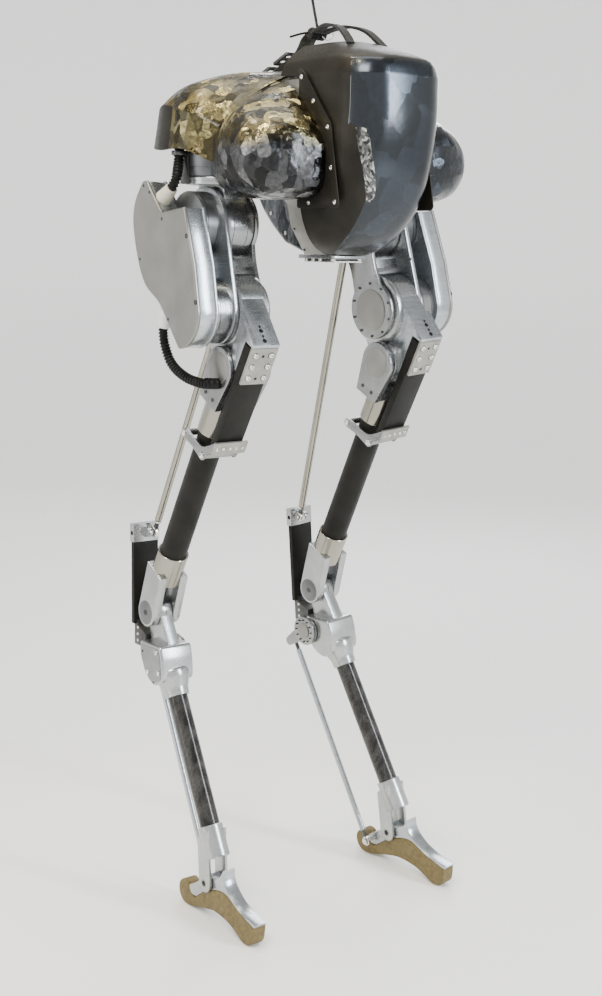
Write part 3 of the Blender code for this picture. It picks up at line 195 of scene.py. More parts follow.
def grained(name, dark, light, roughness, metallic=0.0, scale=60.0, grain=900.0, bump=0.12,
            stretch=(1.0, 1.0, 1.0), coat=0.0, sheen=0.0, warp=0.0, contrast=(0.3, 0.7)):
    """A surface with drifting colour and roughness, and a fine grain in its bump."""
    material, tree, shader = new_material(name)
    place = add_node(tree, "TexCoord").outputs["Object"]
    shape = add_node(tree, "Mapping", {"Scale": stretch, "Vector": place}).outputs[0]
    drift = add_node(tree, "TexNoise", {
        "Scale": scale, "Detail": 4.0, "Distortion": warp, "Vector": shape}).outputs["Fac"]
    fine = add_node(tree, "TexNoise", {
        "Scale": grain, "Detail": 3.0, "Vector": shape}).outputs["Fac"]
    spread = add_node(tree, "MapRange", {
        "From Min": 0.3, "From Max": 0.7, "To Min": roughness[0], "To Max": roughness[1],
        "Value": fine})
    relief = add_node(tree, "Bump", {"Strength": bump, "Distance": GRAIN_DEPTH, "Height": fine})
    set_inputs(tree, shader, {
        "Metallic": metallic, "Coat Weight": coat, "Coat Roughness": COAT_ROUGHNESS,
        "Specular IOR Level": DULL_SPECULAR if max(light) < DULL_BELOW else 0.5,
        "Sheen Weight": sheen,
        "Base Color": add_ramp(tree, drift, [(contrast[0], dark), (contrast[1], light)]),
        "Roughness": spread.outputs[0], "Normal": relief.outputs[0]})
    return material


def forged(name, stops, scale=26.0, tilt=0.22, metallic=0.85, roughness=(0.16, 0.40), painted_warm_top=None):
    """Chopped-fibre composite: flat chips, each with its own tone, gloss and slight tilt."""
    material, tree, shader = new_material(name)
    place = add_node(tree, "TexCoord").outputs["Object"]
    warp = add_node(tree, "TexNoise", {"Scale": 18.0, "Detail": 3.0, "Vector": place})
    bent = add_node(tree, "VectorMath", {
        0: warp.outputs["Color"], 1: (0.035, 0.035, 0.035), 2: place},
        operation="MULTIPLY_ADD").outputs[0]
    squeeze = add_node(tree, "Mapping", {
        "Scale": (1.0, 1.5, 0.8), "Rotation": (0.5, 0.3, 0.6), "Vector": bent})
    chips = add_node(tree, "TexVoronoi", {
        "Scale": scale, "Vector": squeeze.outputs[0]}).outputs["Color"]
    split = add_node(tree, "SeparateColor", {0: chips})
    fibre = add_node(tree, "TexNoise", {
        "Scale": 190.0, "Detail": 4.0, "Vector": place}).outputs["Fac"]
    fade = add_node(tree, "Math", {0: split.outputs[0], 1: 0.8, 2: -0.12}, operation="MULTIPLY_ADD")
    tone = add_node(tree, "Math", {0: fibre, 1: 0.45, 2: fade.outputs[0]}, operation="MULTIPLY_ADD")
    colour = add_ramp(tree, tone.outputs[0], stops)
    # Painted reflection: painted_warm_top multiplies the chips' colour towards gold above a height, the warm
    # lights' reflection painted onto the top.
    if painted_warm_top:
        low, high, reflection_colour, strength = painted_warm_top
        height = add_node(tree, "SeparateXYZ", {0: bent})
        reflection_share = add_node(tree, "MapRange", {
            "From Min": PELVIS.z + low, "From Max": PELVIS.z + high, "To Max": strength,
            "Value": height.outputs["Z"]})
        colour = add_node(tree, "Mix", data_type="RGBA", blend_type="MULTIPLY", inputs={
            0: reflection_share.outputs[0], 6: colour, 7: (*reflection_colour, 1.0)}).outputs[2]
    spread = add_node(tree, "MapRange", {
        "To Min": roughness[0], "To Max": roughness[1], "Value": split.outputs[1]})
    lean = add_node(tree, "VectorMath", {0: chips, 1: (0.5, 0.5, 0.5)}, operation="SUBTRACT")
    slope = add_node(tree, "VectorMath", {0: lean.outputs[0], 1: bent}, operation="DOT_PRODUCT")
    ripple = add_node(tree, "Math", {0: fibre, 1: 0.0016, 2: slope.outputs["Value"]},
                      operation="MULTIPLY_ADD")
    relief = add_node(tree, "Bump", {
        "Strength": tilt, "Distance": 1.0, "Height": ripple.outputs[0]})
    set_inputs(tree, shader, {
        "Metallic": metallic, "Coat Weight": 0.2, "Coat Roughness": COAT_ROUGHNESS,
        "Base Color": colour, "Roughness": spread.outputs[0], "Normal": relief.outputs[0]})
    return material


DARK_CHIPS = [(0.20, (0.010, 0.010, 0.010)), (0.98, (0.190, 0.190, 0.190)), (0.62, (0.030, 0.030, 0.031)),
              (0.82, (0.065, 0.066, 0.068))]
BLUE_CHIPS = [(0.20, (0.024, 0.027, 0.030)), (0.98, (0.066, 0.079, 0.095)), (0.60, (0.031, 0.036, 0.043)),
              (0.82, (0.038, 0.045, 0.054))]
BRONZE_CHIPS = [(0.10, (0.026, 0.022, 0.011)), (0.95, (0.300, 0.250, 0.110)), (0.45, (0.058, 0.048, 0.021)),
                (0.72, (0.110, 0.092, 0.040))]


MATERIALS = (
    ("front_composite", forged, BLUE_CHIPS, 30.0, 0.06, 0.92, (0.20, 0.30), {}),
    # The cover composite: chips in their own tones, with a painted reflection of the warm lights multiplied
    # in over its top.
    ("cover_composite", forged, DARK_CHIPS, 58.0, 0.60, 0.94, (0.14, 0.32), (0.022, 0.050, (4.6, 3.8,
        1.7), 1.0), {}),
    ("bronze_composite", forged, BRONZE_CHIPS, 56.0, 0.55, 0.94, (0.16, 0.34), {}),
    ("blue_composite", forged, BLUE_CHIPS, 58.0, 0.40, 0.92, (0.16, 0.34), {}),
    ("flank_composite", grained, (0.009, 0.008, 0.006), (0.020, 0.018, 0.014), (0.36, 0.50), 0.2, 14.0,
        260.0, 0.10, {"coat": 0.03, "warp": 0.8}),
    ("speckled_band", forged, [(0.2, (0.02, 0.02, 0.02)), (0.9, (0.44, 0.44, 0.42)), (0.5, (0.11, 0.11,
        0.105))], 240.0, 0.30, 0.75, (0.25, 0.5), {}),
    ("matte_composite", grained, (0.008, 0.008, 0.007), (0.015, 0.014, 0.012), (0.38, 0.50), 0.1, 30.0,
        700.0, 0.15, {}),
    ("satin_cover", grained, (0.20, 0.195, 0.178), (0.25, 0.245, 0.225), (0.28, 0.36), 0.8, 22.0,
        1400.0, 0.05, {}),
    ("milled", grained, (0.35, 0.37, 0.39), (0.45, 0.475, 0.495), (0.18, 0.30), 0.9, 40.0, 700.0, 0.10,
        (1.0, 1.0, 7.0), {}),
    ("satin_aluminium", grained, (0.22, 0.225, 0.225), (0.29, 0.295, 0.295), (0.18, 0.30), 0.9, 34.0,
        800.0, 0.10, {}),
    ("cast_aluminium", grained, (0.35, 0.36, 0.36), (0.43, 0.44, 0.44), (0.20, 0.32), 0.9, 30.0, 900.0,
        0.10, {}),
    ("champagne", grained, (0.27, 0.255, 0.215), (0.34, 0.322, 0.275), (0.16, 0.22), 0.95, 12.0, 2600.0,
        0.02, {}),
    ("clamp_plate", grained, (0.25, 0.242, 0.215), (0.34, 0.33, 0.30), (0.36, 0.48), 0.75, 60.0, 900.0,
        0.15, {}),
    ("polished_steel", grained, (0.60, 0.58, 0.53), (0.78, 0.77, 0.74), (0.12, 0.22), 1.0, 90.0, 700.0,
        0.05, {}),
    ("dark_metal", grained, (0.05, 0.05, 0.05), (0.10, 0.10, 0.10), (0.28, 0.42), 0.85, 60.0, 700.0,
        0.10, {}),
    ("graphite", grained, (0.10, 0.104, 0.108), (0.18, 0.185, 0.19), (0.30, 0.42), 0.85, 30.0, 700.0,
        0.08, {}),
    ("black_rubber", grained, (0.006, 0.006, 0.006), (0.013, 0.013, 0.012), (0.24, 0.36), 0.0, 60.0,
        900.0, 0.12, {}),
    ("black_screw", grained, (0.005, 0.005, 0.005), (0.012, 0.012, 0.012), (0.4, 0.5), 0.1, 200.0,
        2000.0, 0.1, {}),
    ("cream_plastic", grained, (0.50, 0.47, 0.37), (0.60, 0.57, 0.46), (0.42, 0.52), 0.0, 40.0, 700.0,
        0.06, {"coat": 0.1}),
    ("olive_rubber", grained, (0.090, 0.064, 0.020), (0.165, 0.122, 0.042), (0.62, 0.80), 0.0, 160.0,
        900.0, 0.45, {"warp": 0.6}),
    ("webbing", grained, (0.006, 0.006, 0.006), (0.018, 0.017, 0.015), (0.7, 0.85), 0.0, 200.0, 1500.0,
        0.5, {"sheen": 0.08}),
    ("olive_webbing", grained, (0.030, 0.029, 0.022), (0.075, 0.072, 0.056), (0.7, 0.85), 0.0, 200.0,
        1500.0, 0.5, {"sheen": 0.08}),
    ("marbled_carbon", grained, (0.012, 0.011, 0.010), (0.048, 0.046, 0.043), (0.22, 0.36), 0.35, 34.0,
        500.0, 0.06, (1.0, 1.0, 0.45), 0.4, 0.0, 2.2, (0.36, 0.66), {}),
    ("white_plastic", grained, (0.60, 0.60, 0.56), (0.72, 0.72, 0.68), (0.4, 0.5), 0.0, 60.0, 900.0,
        0.05, {}),
)


def make_materials():
    made = {}
    for name, make, *values in MATERIALS:
        made[name] = make(name, *values[:-1], **values[-1])
    return made


# ---------------------------------------------------------------- mesh helpers
def down(angle):
    turn = math.radians(angle)
    return Vector((math.sin(turn), -math.cos(turn)))


def fore(angle):
    turn = math.radians(angle)
    return Vector((math.cos(turn), math.sin(turn)))


def on_link(origin, angle, along_front):
    return origin + along_front[0] * down(angle) + along_front[1] * fore(angle)


def circle(centre, radius, sides=48, start=0.0, end=360.0):
    steps = sides if end - start >= 360.0 else sides + 1
    turns = [math.radians(start + (end - start) / sides * i) for i in range(steps)]
    return [(centre[0] + radius * math.cos(t), centre[1] + radius * math.sin(t)) for t in turns]


def cross(a, b, c):
    return (b[0] - a[0]) * (c[1] - a[1]) - (b[1] - a[1]) * (c[0] - a[0])


def hull(points):
    """Convex outline of 2D points, anticlockwise."""
    ordered = sorted({(round(p[0], 6), round(p[1], 6)) for p in points})

    def half(run):
        kept = []
        for p in run:
            while len(kept) > 1 and cross(kept[-2], kept[-1], p) <= 1e-10:
                kept.pop()
            kept.append(p)
        return kept[:-1]

    return half(ordered) + half(ordered[::-1])


def smooth(points, steps=3, closed=True):
    """A Catmull-Rom curve through points of any dimension."""
    count = len(points)
    result = []
    for i in range(count if closed else count - 1):
        near = [i - 1, i, i + 1, i + 2]
        near = [k % count for k in near] if closed else [min(max(k, 0), count - 1) for k in near]
        p = [Vector(points[k]) for k in near]
        for j in range(steps):
            t = j / steps
            result.append(
                0.5 * (2 * p[1] + (p[2] - p[0]) * t + (2 * p[0] - 5 * p[1] + 4 * p[2] - p[3]) * t ** 2
                       + (3 * p[1] - p[0] - 3 * p[2] + p[3]) * t ** 3))
    if not closed:
        result.append(Vector(points[-1]))
    return [tuple(p) for p in result]


def rounded(points, radius, steps=5):
    """An outline with each corner replaced by a short curve."""
    made = []
    for i, here in enumerate(points):
        here = Vector(here)
        before = Vector(points[i - 1]) - here
        after = Vector(points[(i + 1) % len(points)]) - here
        reach = min(radius, before.length * 0.45, after.length * 0.45)
        start = here + before.normalized() * reach
        end = here + after.normalized() * reach
        for j in range(steps + 1):
            t = j / steps
            made.append(tuple((1 - t) ** 2 * start + 2 * t * (1 - t) * here + t ** 2 * end))
    return made


def inset(points, distance):
    """An outline moved inwards by a distance."""
    area = sum(cross((0.0, 0.0), a, b) for a, b in zip(points, points[1:] + points[:1]))
    points = points if area > 0 else points[::-1]
    made = []
    for i, here in enumerate(points):
        before = (Vector(here) - Vector(points[i - 1])).normalized()
        after = (Vector(points[(i + 1) % len(points)]) - Vector(here)).normalized()
        inward = Vector((-before.y - after.y, before.x + after.x))
        square = Vector((-before.y, before.x))
        made.append(Vector(here) + inward * (distance / max(inward.dot(square), 0.3)))
    return [tuple(p) for p in made]


def from_bmesh(work, face_out=True):
    if face_out:
        bmesh.ops.recalc_face_normals(work, faces=work.faces)
    mesh = bpy.data.meshes.new("shape")
    work.to_mesh(mesh)
    work.free()
    return mesh


def evaluated(obj, dist=0.00001):
    """The object's final mesh, welded and facing out; the object is removed."""
    bpy.context.scene.collection.objects.link(obj)
    bpy.context.view_layer.update()
    graph = bpy.context.evaluated_depsgraph_get()
    mesh = bpy.data.meshes.new_from_object(obj.evaluated_get(graph))
    bpy.data.objects.remove(obj)
    work = bmesh.new()
    work.from_mesh(mesh)
    bmesh.ops.remove_doubles(work, verts=work.verts, dist=dist)
    return from_bmesh(work)


def plate(outline, low, high, matrix=SIDE_VIEW, edge=0.0008, holes=(), steps=2):
    """A flat outline with rounded edges and through holes, from low to high on its third axis."""
    curve = bpy.data.curves.new("outline", "CURVE")
    curve.dimensions = "2D"
    curve.fill_mode = "BOTH"
    curve.bevel_depth = edge
    curve.bevel_resolution = steps - 1
    curve.offset = -edge
    curve.extrude = abs(high - low) / 2 - edge
    for ring in (outline, *holes):
        spline = curve.splines.new("POLY")
        spline.points.add(len(ring) - 1)
        for point, place in zip(spline.points, ring):
            point.co = (place[0], place[1], 0.0, 1.0)
        spline.use_cyclic_u = True
    mesh = evaluated(bpy.data.objects.new("outline", curve))
    mesh.transform(matrix @ Matrix.Translation((0.0, 0.0, (low + high) / 2)))
    return mesh


def lathe(profile, matrix, steps=48):
    """A (radius, height) profile turned about the third axis; closed if its ends meet."""
    work = bmesh.new()
    closed = (Vector(profile[0]) - Vector(profile[-1])).length < 1e-7
    rings = []
    for radius, height in profile[:-1] if closed else profile:
        if radius < 1e-7:
            rings.append([work.verts.new((0.0, 0.0, height))])
            continue
        turns = [2 * math.pi * i / steps for i in range(steps)]
        rings.append([work.verts.new((radius * math.cos(t), radius * math.sin(t), height)) for t in turns])
    pairs = list(zip(rings, rings[1:])) + ([(rings[-1], rings[0])] if closed else [])
    for near, far in pairs:
        for i in range(steps):
            j = (i + 1) % steps
            corners = [near[i % len(near)], near[j % len(near)], far[j % len(far)], far[i % len(far)]]
            corners = list(dict.fromkeys(corners))
            if len(corners) > 2:
                work.faces.new(corners)
    bmesh.ops.transform(work, verts=work.verts, matrix=matrix)
    return from_bmesh(work)


def chamfered(radius, low, high, edge=0.0010, bore=0.0, grooves=()):
    """The section of a disc or ring with eased edges, and narrow grooves at the given heights."""
    outer = [(radius - edge, low), (radius - edge * 0.3, low + edge * 0.3), (radius, low + edge)]
    for height in sorted(grooves):
        outer += [(radius, height - 0.0005), (radius - 0.0008, height - 0.0003),
                  (radius - 0.0008, height + 0.0003), (radius, height + 0.0005)]
    outer += [(radius, high - edge), (radius - edge * 0.3, high - edge * 0.3), (radius - edge, high)]
    if bore:
        return [(bore + edge * 0.5, low)] + outer + [
            (bore + edge * 0.5, high), (bore, high - edge * 0.5), (bore, low + edge * 0.5),
            (bore + edge * 0.5, low)]
    return [(0.0, low)] + outer + [(0.0, high)]


def facing(start, direction):
    """A matrix that takes the third axis to a direction, at a place."""
    turn = Vector((0.0, 0.0, 1.0)).rotation_difference(Vector(direction)).to_matrix().to_4x4()
    return Matrix.Translation(start) @ turn


def bolt(place, direction, radius, height, recess=0.45, dome=0.3):
    """A round screw head with a round recess."""
    top = height * (1 - dome)
    head = [(0.0, height * 0.45), (radius * recess, height * 0.45), (radius * recess, height),
            (radius * 0.75, height * 0.97), (radius * 0.93, (top + height) / 2), (radius, top), (radius, 0.0),
            (0.0, 0.0)]
    return lathe(head, facing(place, direction), 18)


def tube_path(points, radius, sides=16, ridge=0.0, pitch=0.003):
    """A round sweep through 3D points; a ridge makes it a corrugated hose."""
    line = [Vector(p) for p in smooth(points, 12, False)]
    reach = [0.0]
    for a, b in zip(line, line[1:]):
        reach.append(reach[-1] + (b - a).length)
    step = pitch / 4 if ridge else max(radius * 0.8, 0.002)
    count = max(int(reach[-1] / step), 4)
    work = bmesh.new()
    rings, k, normal = [], 0, None
    for i in range(count + 1):
        here = reach[-1] * i / count
        while k < len(line) - 2 and reach[k + 1] < here:
            k += 1
        span = max(reach[k + 1] - reach[k], 1e-9)
        middle = line[k].lerp(line[k + 1], (here - reach[k]) / span)
        run = (line[k + 1] - line[k]).normalized()
        if normal is None:
            normal = run.orthogonal().normalized()
        normal = (normal - run * normal.dot(run)).normalized()
        side = run.cross(normal)
        r = radius - (ridge if ridge and i % 4 > 1 else 0.0)
        rings.append([work.verts.new(middle + r * (normal * math.cos(t) + side * math.sin(t)))
                      for t in (2 * math.pi * j / sides for j in range(sides))])
    for near, far in zip(rings, rings[1:]):
        for i in range(sides):
            j = (i + 1) % sides
            work.faces.new((near[i], near[j], far[j], far[i]))
    work.faces.new(rings[0])
    work.faces.new(rings[-1])
    return from_bmesh(work)


def skin(rows, thickness, closed=False, cap_last=False, paint=None):
    """A surface through rows of points, thickened inwards. paint picks each face's material."""
    work = bmesh.new()
    lines = [[work.verts.new(p) for p in row] for row in rows]
    count = len(lines[0])
    for a, (near, far) in enumerate(zip(lines, lines[1:])):
        for i in range(count if closed else count - 1):
            j = (i + 1) % count
            face = work.faces.new((near[i], near[j], far[j], far[i]))
            if paint:
                face.material_index = paint(a, i, face.calc_center_median())
    if cap_last:
        work.faces.new(lines[-1])
    work.normal_update()
    centre = sum((v.co for v in work.verts), Vector()) / len(work.verts)
    if sum((f.calc_center_median() - centre).dot(f.normal) * f.calc_area() for f in work.faces) < 0:
        bmesh.ops.reverse_faces(work, faces=work.faces)
    obj = bpy.data.objects.new("skin", from_bmesh(work, False))
    thicken = obj.modifiers.new("wall", "SOLIDIFY")
    thicken.thickness = thickness
    thicken.offset = -1.0
    return evaluated(obj)


def cut(mesh, *cutters):
    """The mesh with each cutter taken out of it."""
    obj = bpy.data.objects.new("solid", mesh)
    tools = []
    for cutter in cutters:
        tool = bpy.data.objects.new("cutter", cutter)
        bpy.context.scene.collection.objects.link(tool)
        boolean = obj.modifiers.new("cut", "BOOLEAN")
        boolean.solver = "EXACT"
        boolean.object = tool
        tools.append(tool)
    made = evaluated(obj)
    for tool in tools:
        bpy.data.objects.remove(tool)
    return made


def block(low, high, edge=0.0008):
    """A box with rounded edges between two opposite corners."""
    outline = [(low[0], low[1]), (high[0], low[1]), (high[0], high[1]), (low[0], high[1])]
    return plate(outline, low[2], high[2], Matrix.Identity(4), edge)


def piece(name, parts, matrix, nodes, slot, body=None, angle=35.0):
    """Joins meshes into one piece in place of its CAD nodes, and lets it ride on a body."""
    work = bmesh.new()
    used = []
    for mesh, paints in parts:
        paints = [paints] if isinstance(paints, str) else paints
        used += [p for p in paints if p not in used]
        start = len(work.faces)
        work.from_mesh(mesh)
        work.faces.ensure_lookup_table()
        for face in work.faces[start:]:
            face.material_index = used.index(paints[min(face.material_index, len(paints) - 1)])
    bmesh.ops.transform(work, verts=work.verts, matrix=matrix)
    if matrix.to_3x3().determinant() < 0:
        bmesh.ops.reverse_faces(work, faces=work.faces)
    mesh = from_bmesh(work, False)
    for paint in used:
        mesh.materials.append(materials[paint])
    mesh.shade_smooth()
    mesh.set_sharp_from_angle(angle=math.radians(angle))
    obj = bpy.data.objects.new("look_" + name, mesh)
    bpy.context.scene.collection.objects.link(obj)
    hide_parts(*nodes)
    if body:
        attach(obj, body)
    return obj


# ---------------------------------------------------------------- torso
TORSO_HALF, SEAM_Y = 0.0765, -0.0095
FRAME_FRONT_Y, FRAME_BACK_Y = -0.062, -0.012
FLANGE_X = TORSO_HALF + 0.002
FRONT_LEVELS = (
    (-0.128, 0.034, -0.088, 0.024), (-0.116, 0.052, -0.112, 0.040), (-0.095, 0.066, -0.136, 0.050),
    (-0.062, 0.0755, -0.160, 0.055), (-0.015, TORSO_HALF, -0.180, 0.058), (0.045, TORSO_HALF, -0.190, 0.056),
    (0.090, TORSO_HALF, -0.190, 0.054), (0.1015, 0.0762, -0.189, 0.054), (0.118, 0.0705, -0.182, 0.052),
    (0.127, 0.0630, -0.165, 0.048), (0.135, 0.0540, -0.140, 0.043), (0.146, 0.0380, -0.102, 0.036))
"""Sections of the front shell: height, half width, front (y), depth of the rounded corner."""


def torso_piece(name, parts, nodes, slot, **more):
    return piece(name, parts, Matrix.Translation(PELVIS), nodes, slot, "pelvis", **more)


def front_row(level):
    height, half, front, corner = level
    back = -0.0623 if height < 0.102 else -0.0145
    row = [(half, back), (half, back + (front + corner - back) * 0.5), (half, front + corner)]
    for i in range(1, 11):
        turn = math.radians(9.0 * i)
        row.append((half - half * 0.62 * (1 - math.cos(turn)), front + corner * (1 - math.sin(turn))))
    row.append((half * 0.19, front - 0.0012))
    points = [(x, y, height) for x, y in row] + [(0.0, front - 0.0016, height)]
    return points + [(-x, y, z) for x, y, z in points[-2::-1]]


FLANK_COLUMNS, SHELL_TOP = 5, 0.118
CHIP_BAND = ((0.032, 6.2, 7.9), (0.018, 6.6, 8.6), (0.000, 7.3, 9.3), (-0.030, 8.8, 10.7),
             (-0.050, 9.8, 11.6), (-0.060, 10.4, 11.2))
"""Speckled band beside the right crease, as (height, first column, last column) of the front surface."""
DARK_WEDGE = ((0.038, 4.9, 5.1), (0.032, 4.9, 6.2), (0.018, 4.9, 6.6), (0.000, 4.9, 7.3), (-0.030, 4.9, 8.8),
              (-0.055, 4.9, 10.0), (-0.080, 4.9, 9.8), (-0.100, 4.9, 9.0), (-0.118, 4.9, 7.6),
              (-0.126, 4.9, 6.0))


def front_point(rows, height, column, lift):
    """The point of the front surface at a height and a fractional column, lifted off it a little."""
    k = next((i for i in range(len(rows) - 2)
              if (rows[i][0][2] - height) * (rows[i + 1][0][2] - height) <= 0),
             len(rows) - 2)
    share = (height - rows[k][0][2]) / (rows[k + 1][0][2] - rows[k][0][2])
    column = len(rows[0]) - 1 - column
    i = min(int(column), len(rows[0]) - 2)
    near, far = (Vector(row[i]).lerp(Vector(row[i + 1]), column - i) for row in (rows[k], rows[k + 1]))
    spot = near.lerp(far, share)
    return tuple(spot + lift * Vector((spot.x, spot.y + 0.06, 0.25 * spot.z)).normalized())


def front_patch(rows, edges, lift):
    fine = smooth(edges, 5, False)
    return skin([[front_point(rows, z, a + (b - a) * t / 10, lift) for t in range(11)] for z, a, b in fine],
                0.0003)


def torso_front_shell():
    rows = [front_row(level) for level in smooth(FRONT_LEVELS, 4, False)]

    def paint(level, column, place):
        side = min(column, len(rows[0]) - 2 - column)
        return 1 if side < FLANK_COLUMNS or place.z > SHELL_TOP else 0

    work = skin(rows, 0.003, cap_last=True, paint=paint)
    parts = [(work, ["front_composite", "flank_composite"]),
             (front_patch(rows, DARK_WEDGE, 0.0004), "flank_composite"),
             (front_patch(rows, CHIP_BAND, 0.0006), "speckled_band")]
    # Painted highlight: a thin grey tube along the crease stands in for the crease edge's highlight.
    crease = [front_point(rows, z, 5.0, 0.0002) for z in (0.112, 0.090, 0.060, 0.036)]
    parts.append((tube_path(crease, 0.0006, 8), "graphite"))
    torso_piece("front_shell", parts, ["torso_front_shell"], "forged_carbon", angle=28.0)


FRAME_OUTLINE = ((0.030, -0.1285), (0.054, -0.090), (0.060, -0.062), (0.074, -0.050), (0.110, -0.026),
                 (0.110, 0.026), (0.074, 0.060), (0.068, 0.0995))


def pelvis_frame():
    outline = list(FRAME_OUTLINE) + [(-x, z) for x, z in FRAME_OUTLINE[::-1]]
    window = [(-0.035, -0.05), (0.035, -0.05), (0.035, 0.07), (-0.035, 0.07)]
    parts = [(plate(outline, FRAME_FRONT_Y, FRAME_BACK_Y, FRONT_VIEW, 0.0008, [window]), "clamp_plate")]
    for s in (1, -1):
        drum = facing((s * HIP_OUT, -0.092, 0.0), (0, 1, 0))
        parts.append((lathe(chamfered(0.036, 0.0, 0.080, 0.001, 0.0, (0.02, 0.05)), drum), "satin_aluminium"))
        for along in (0.12, 0.86):
            for y in (-0.058, -0.018):
                a, b = Vector((0.0542, -0.090)), Vector((0.0305, -0.1280))
                spot = a.lerp(b, along)
                parts.append((bolt((s * spot.x, y, spot.y), (s * 0.85, 0, -0.53), 0.0018, 0.0007),
                              "black_screw"))
    torso_piece("pelvis_frame", parts, ["pelvis_frame"], "satin_aluminium")


REAR_Y = FRAME_BACK_Y + 0.0003
BELLY_SIDE = ((REAR_Y, -0.126), (0.030, -0.114), (0.066, -0.087), (0.096, -0.054), (0.112, -0.010),
              (0.112, 0.020), (0.098, 0.036), (REAR_Y, 0.040))
RIDGE_SIDE = ((REAR_Y, 0.030), (0.090, 0.030), (0.110, 0.050), (0.122, 0.088), (0.112, 0.106),
              (0.060, 0.116), (REAR_Y, 0.120))


def torso_rear_shell():
    belly = [BELLY_SIDE[0]] + smooth(BELLY_SIDE[1:-1], 4, False) + [BELLY_SIDE[-1]]
    ridge = [RIDGE_SIDE[0]] + smooth(RIDGE_SIDE[1:-1], 4, False) + [RIDGE_SIDE[-1]]
    parts = [(plate(belly, -0.036, 0.036, FLANK_VIEW, 0.009, steps=4), "blue_composite"),
             (plate(ridge, -0.0115, 0.0115, FLANK_VIEW, 0.004, steps=3), "bronze_composite")]
    for y, z in ((0.024, -0.100), (0.060, -0.073), (0.020, 0.020), (0.075, 0.015)):
        parts += [(bolt((s * 0.0356, y, z), (s, 0, 0), 0.0028, 0.0012), "polished_steel") for s in (1, -1)]
    torso_piece("rear_shell", parts, ["torso_rear_shell"], "forged_carbon")


def underside_bracket():
    slot = [(-0.018, -0.062), (0.018, -0.062), (0.018, -0.050), (-0.018, -0.050)]
    outline = rounded([(-0.030, -0.077), (0.030, -0.077), (0.030, 0.003), (-0.030, 0.003)], 0.004, 4)
    parts = [(plate(outline, -0.1340, -0.1288, Matrix.Identity(4), 0.0008, [slot]), "satin_aluminium")]
    lip = [(-0.024, -0.072), (0.024, -0.072), (0.024, -0.004), (-0.024, -0.004)]
    parts.append((plate(lip, -0.1388, -0.1366, Matrix.Identity(4), 0.0005, [slot]), "polished_steel"))
    for x in (-0.022, 0.022):
        for y in (-0.068, -0.040, -0.024, -0.008):
            parts.append((bolt((x, y, -0.1341), (0, 0, -1), 0.0034, 0.0036, 0.5, 0.2), "polished_steel"))
    for y in (-0.056, -0.032, -0.016):
        profile = chamfered(0.0030, -0.0255, 0.0255, 0.0006)
        parts.append((lathe(profile, facing((0, y, -0.1355), (1, 0, 0)), 16), "dark_metal"))
    torso_piece("underside_bracket", parts, ["underside_bracket"], "satin_aluminium")


ROLL_COVER = (
    (SEAM_Y, (0.0, 0.098), (0.12, 0.076), (0.158, 0.048), (0.176, 0.015), (0.178, -0.015),
     (0.166, -0.042), (0.130, -0.055), (0.0, -0.056)),
    (-0.050, (0.0, 0.086), (0.12, 0.076), (0.165, 0.054), (0.190, 0.020), (0.192, -0.015),
     (0.175, -0.045), (0.130, -0.057), (0.0, -0.057)),
    (-0.092, (0.0, 0.050), (0.115, 0.056), (0.155, 0.044), (0.181, 0.018), (0.184, -0.015),
     (0.165, -0.044), (0.125, -0.055), (0.0, -0.054)),
    (-0.116, (0.0, 0.020), (0.11, 0.034), (0.140, 0.032), (0.161, 0.012), (0.163, -0.012),
     (0.148, -0.034), (0.118, -0.044), (0.0, -0.044)),
    (-0.124, (0.0, 0.005), (0.10, 0.018), (0.120, 0.015), (0.134, 0.004), (0.135, -0.008),
     (0.126, -0.020), (0.108, -0.028), (0.0, -0.030)))
FLANGE_OUTLINE = (
    (-0.0627, 0.112), (-0.074, 0.105), (-0.102, 0.073), (-0.134, 0.037), (-0.143, -0.016),
    (-0.153, -0.063), (-0.149, -0.068), (-0.0627, -0.068), (-0.0627, -0.050), (-0.104, -0.047),
    (-0.119, -0.030), (-0.1215, -0.004), (-0.110, 0.018), (-0.088, 0.044), (-0.0627, 0.070))
FLANGE_SCREWS = ((-0.069, 0.099), (-0.096, 0.067), (-0.127, 0.033), (-0.135, -0.018), (-0.145, -0.061),
                 (-0.089, -0.061))


def roll_cover(leg):
    rows = []
    for y, *row in ROLL_COVER:
        rows.append(smooth([(x if x else FLANGE_X + 0.0006, y, z) for x, z in row], 5, False))
    columns = [smooth(column, 5, False) for column in zip(*rows)]
    shell = skin([list(row) for row in zip(*columns)], 0.0028, closed=True, cap_last=True)
    flange = plate(rounded(FLANGE_OUTLINE, 0.004, 3), FLANGE_X + 0.0003, FLANGE_X + 0.0022,
                   FLANK_VIEW, 0.0006)
    # The right cover takes the gold-topped composite and the left one the bluish composite: two copies of one
    # cover, painted for the warm light on the right and the cool light on the left.
    parts = [(shell, "cover_composite" if leg.sign < 0 else "blue_composite"), (flange, "flank_composite")]
    parts += [(bolt((FLANGE_X + 0.0021, y, z), (1, 0, 0), 0.0032, 0.0016), "polished_steel")
              for y, z in FLANGE_SCREWS]
    matrix = Matrix.Translation(PELVIS) @ leg.mirror
    piece(f"roll_cover_{leg.side}", parts, matrix, [f"roll_cover_{leg.side}"], "forged_carbon", "pelvis",
          angle=40.0)


STRAP_REAR = ((0.127, 0.0985), (0.117, 0.1130), (0.098, 0.1228), (0.046, 0.1425), (0.026, 0.1625),
              (0.012, 0.1680), (-0.006, 0.1685))
STRAP_FRONT = ((0.012, 0.1660), (-0.016, 0.1715), (-0.046, 0.1725), (-0.082, 0.1630), (-0.112, 0.1415))
STRAP_SPREAD = (-0.035, 0.020)
STRAP_WIDTH, FRONT_WIDTH, FRONT_THICK = 0.025, 0.013, 0.0036


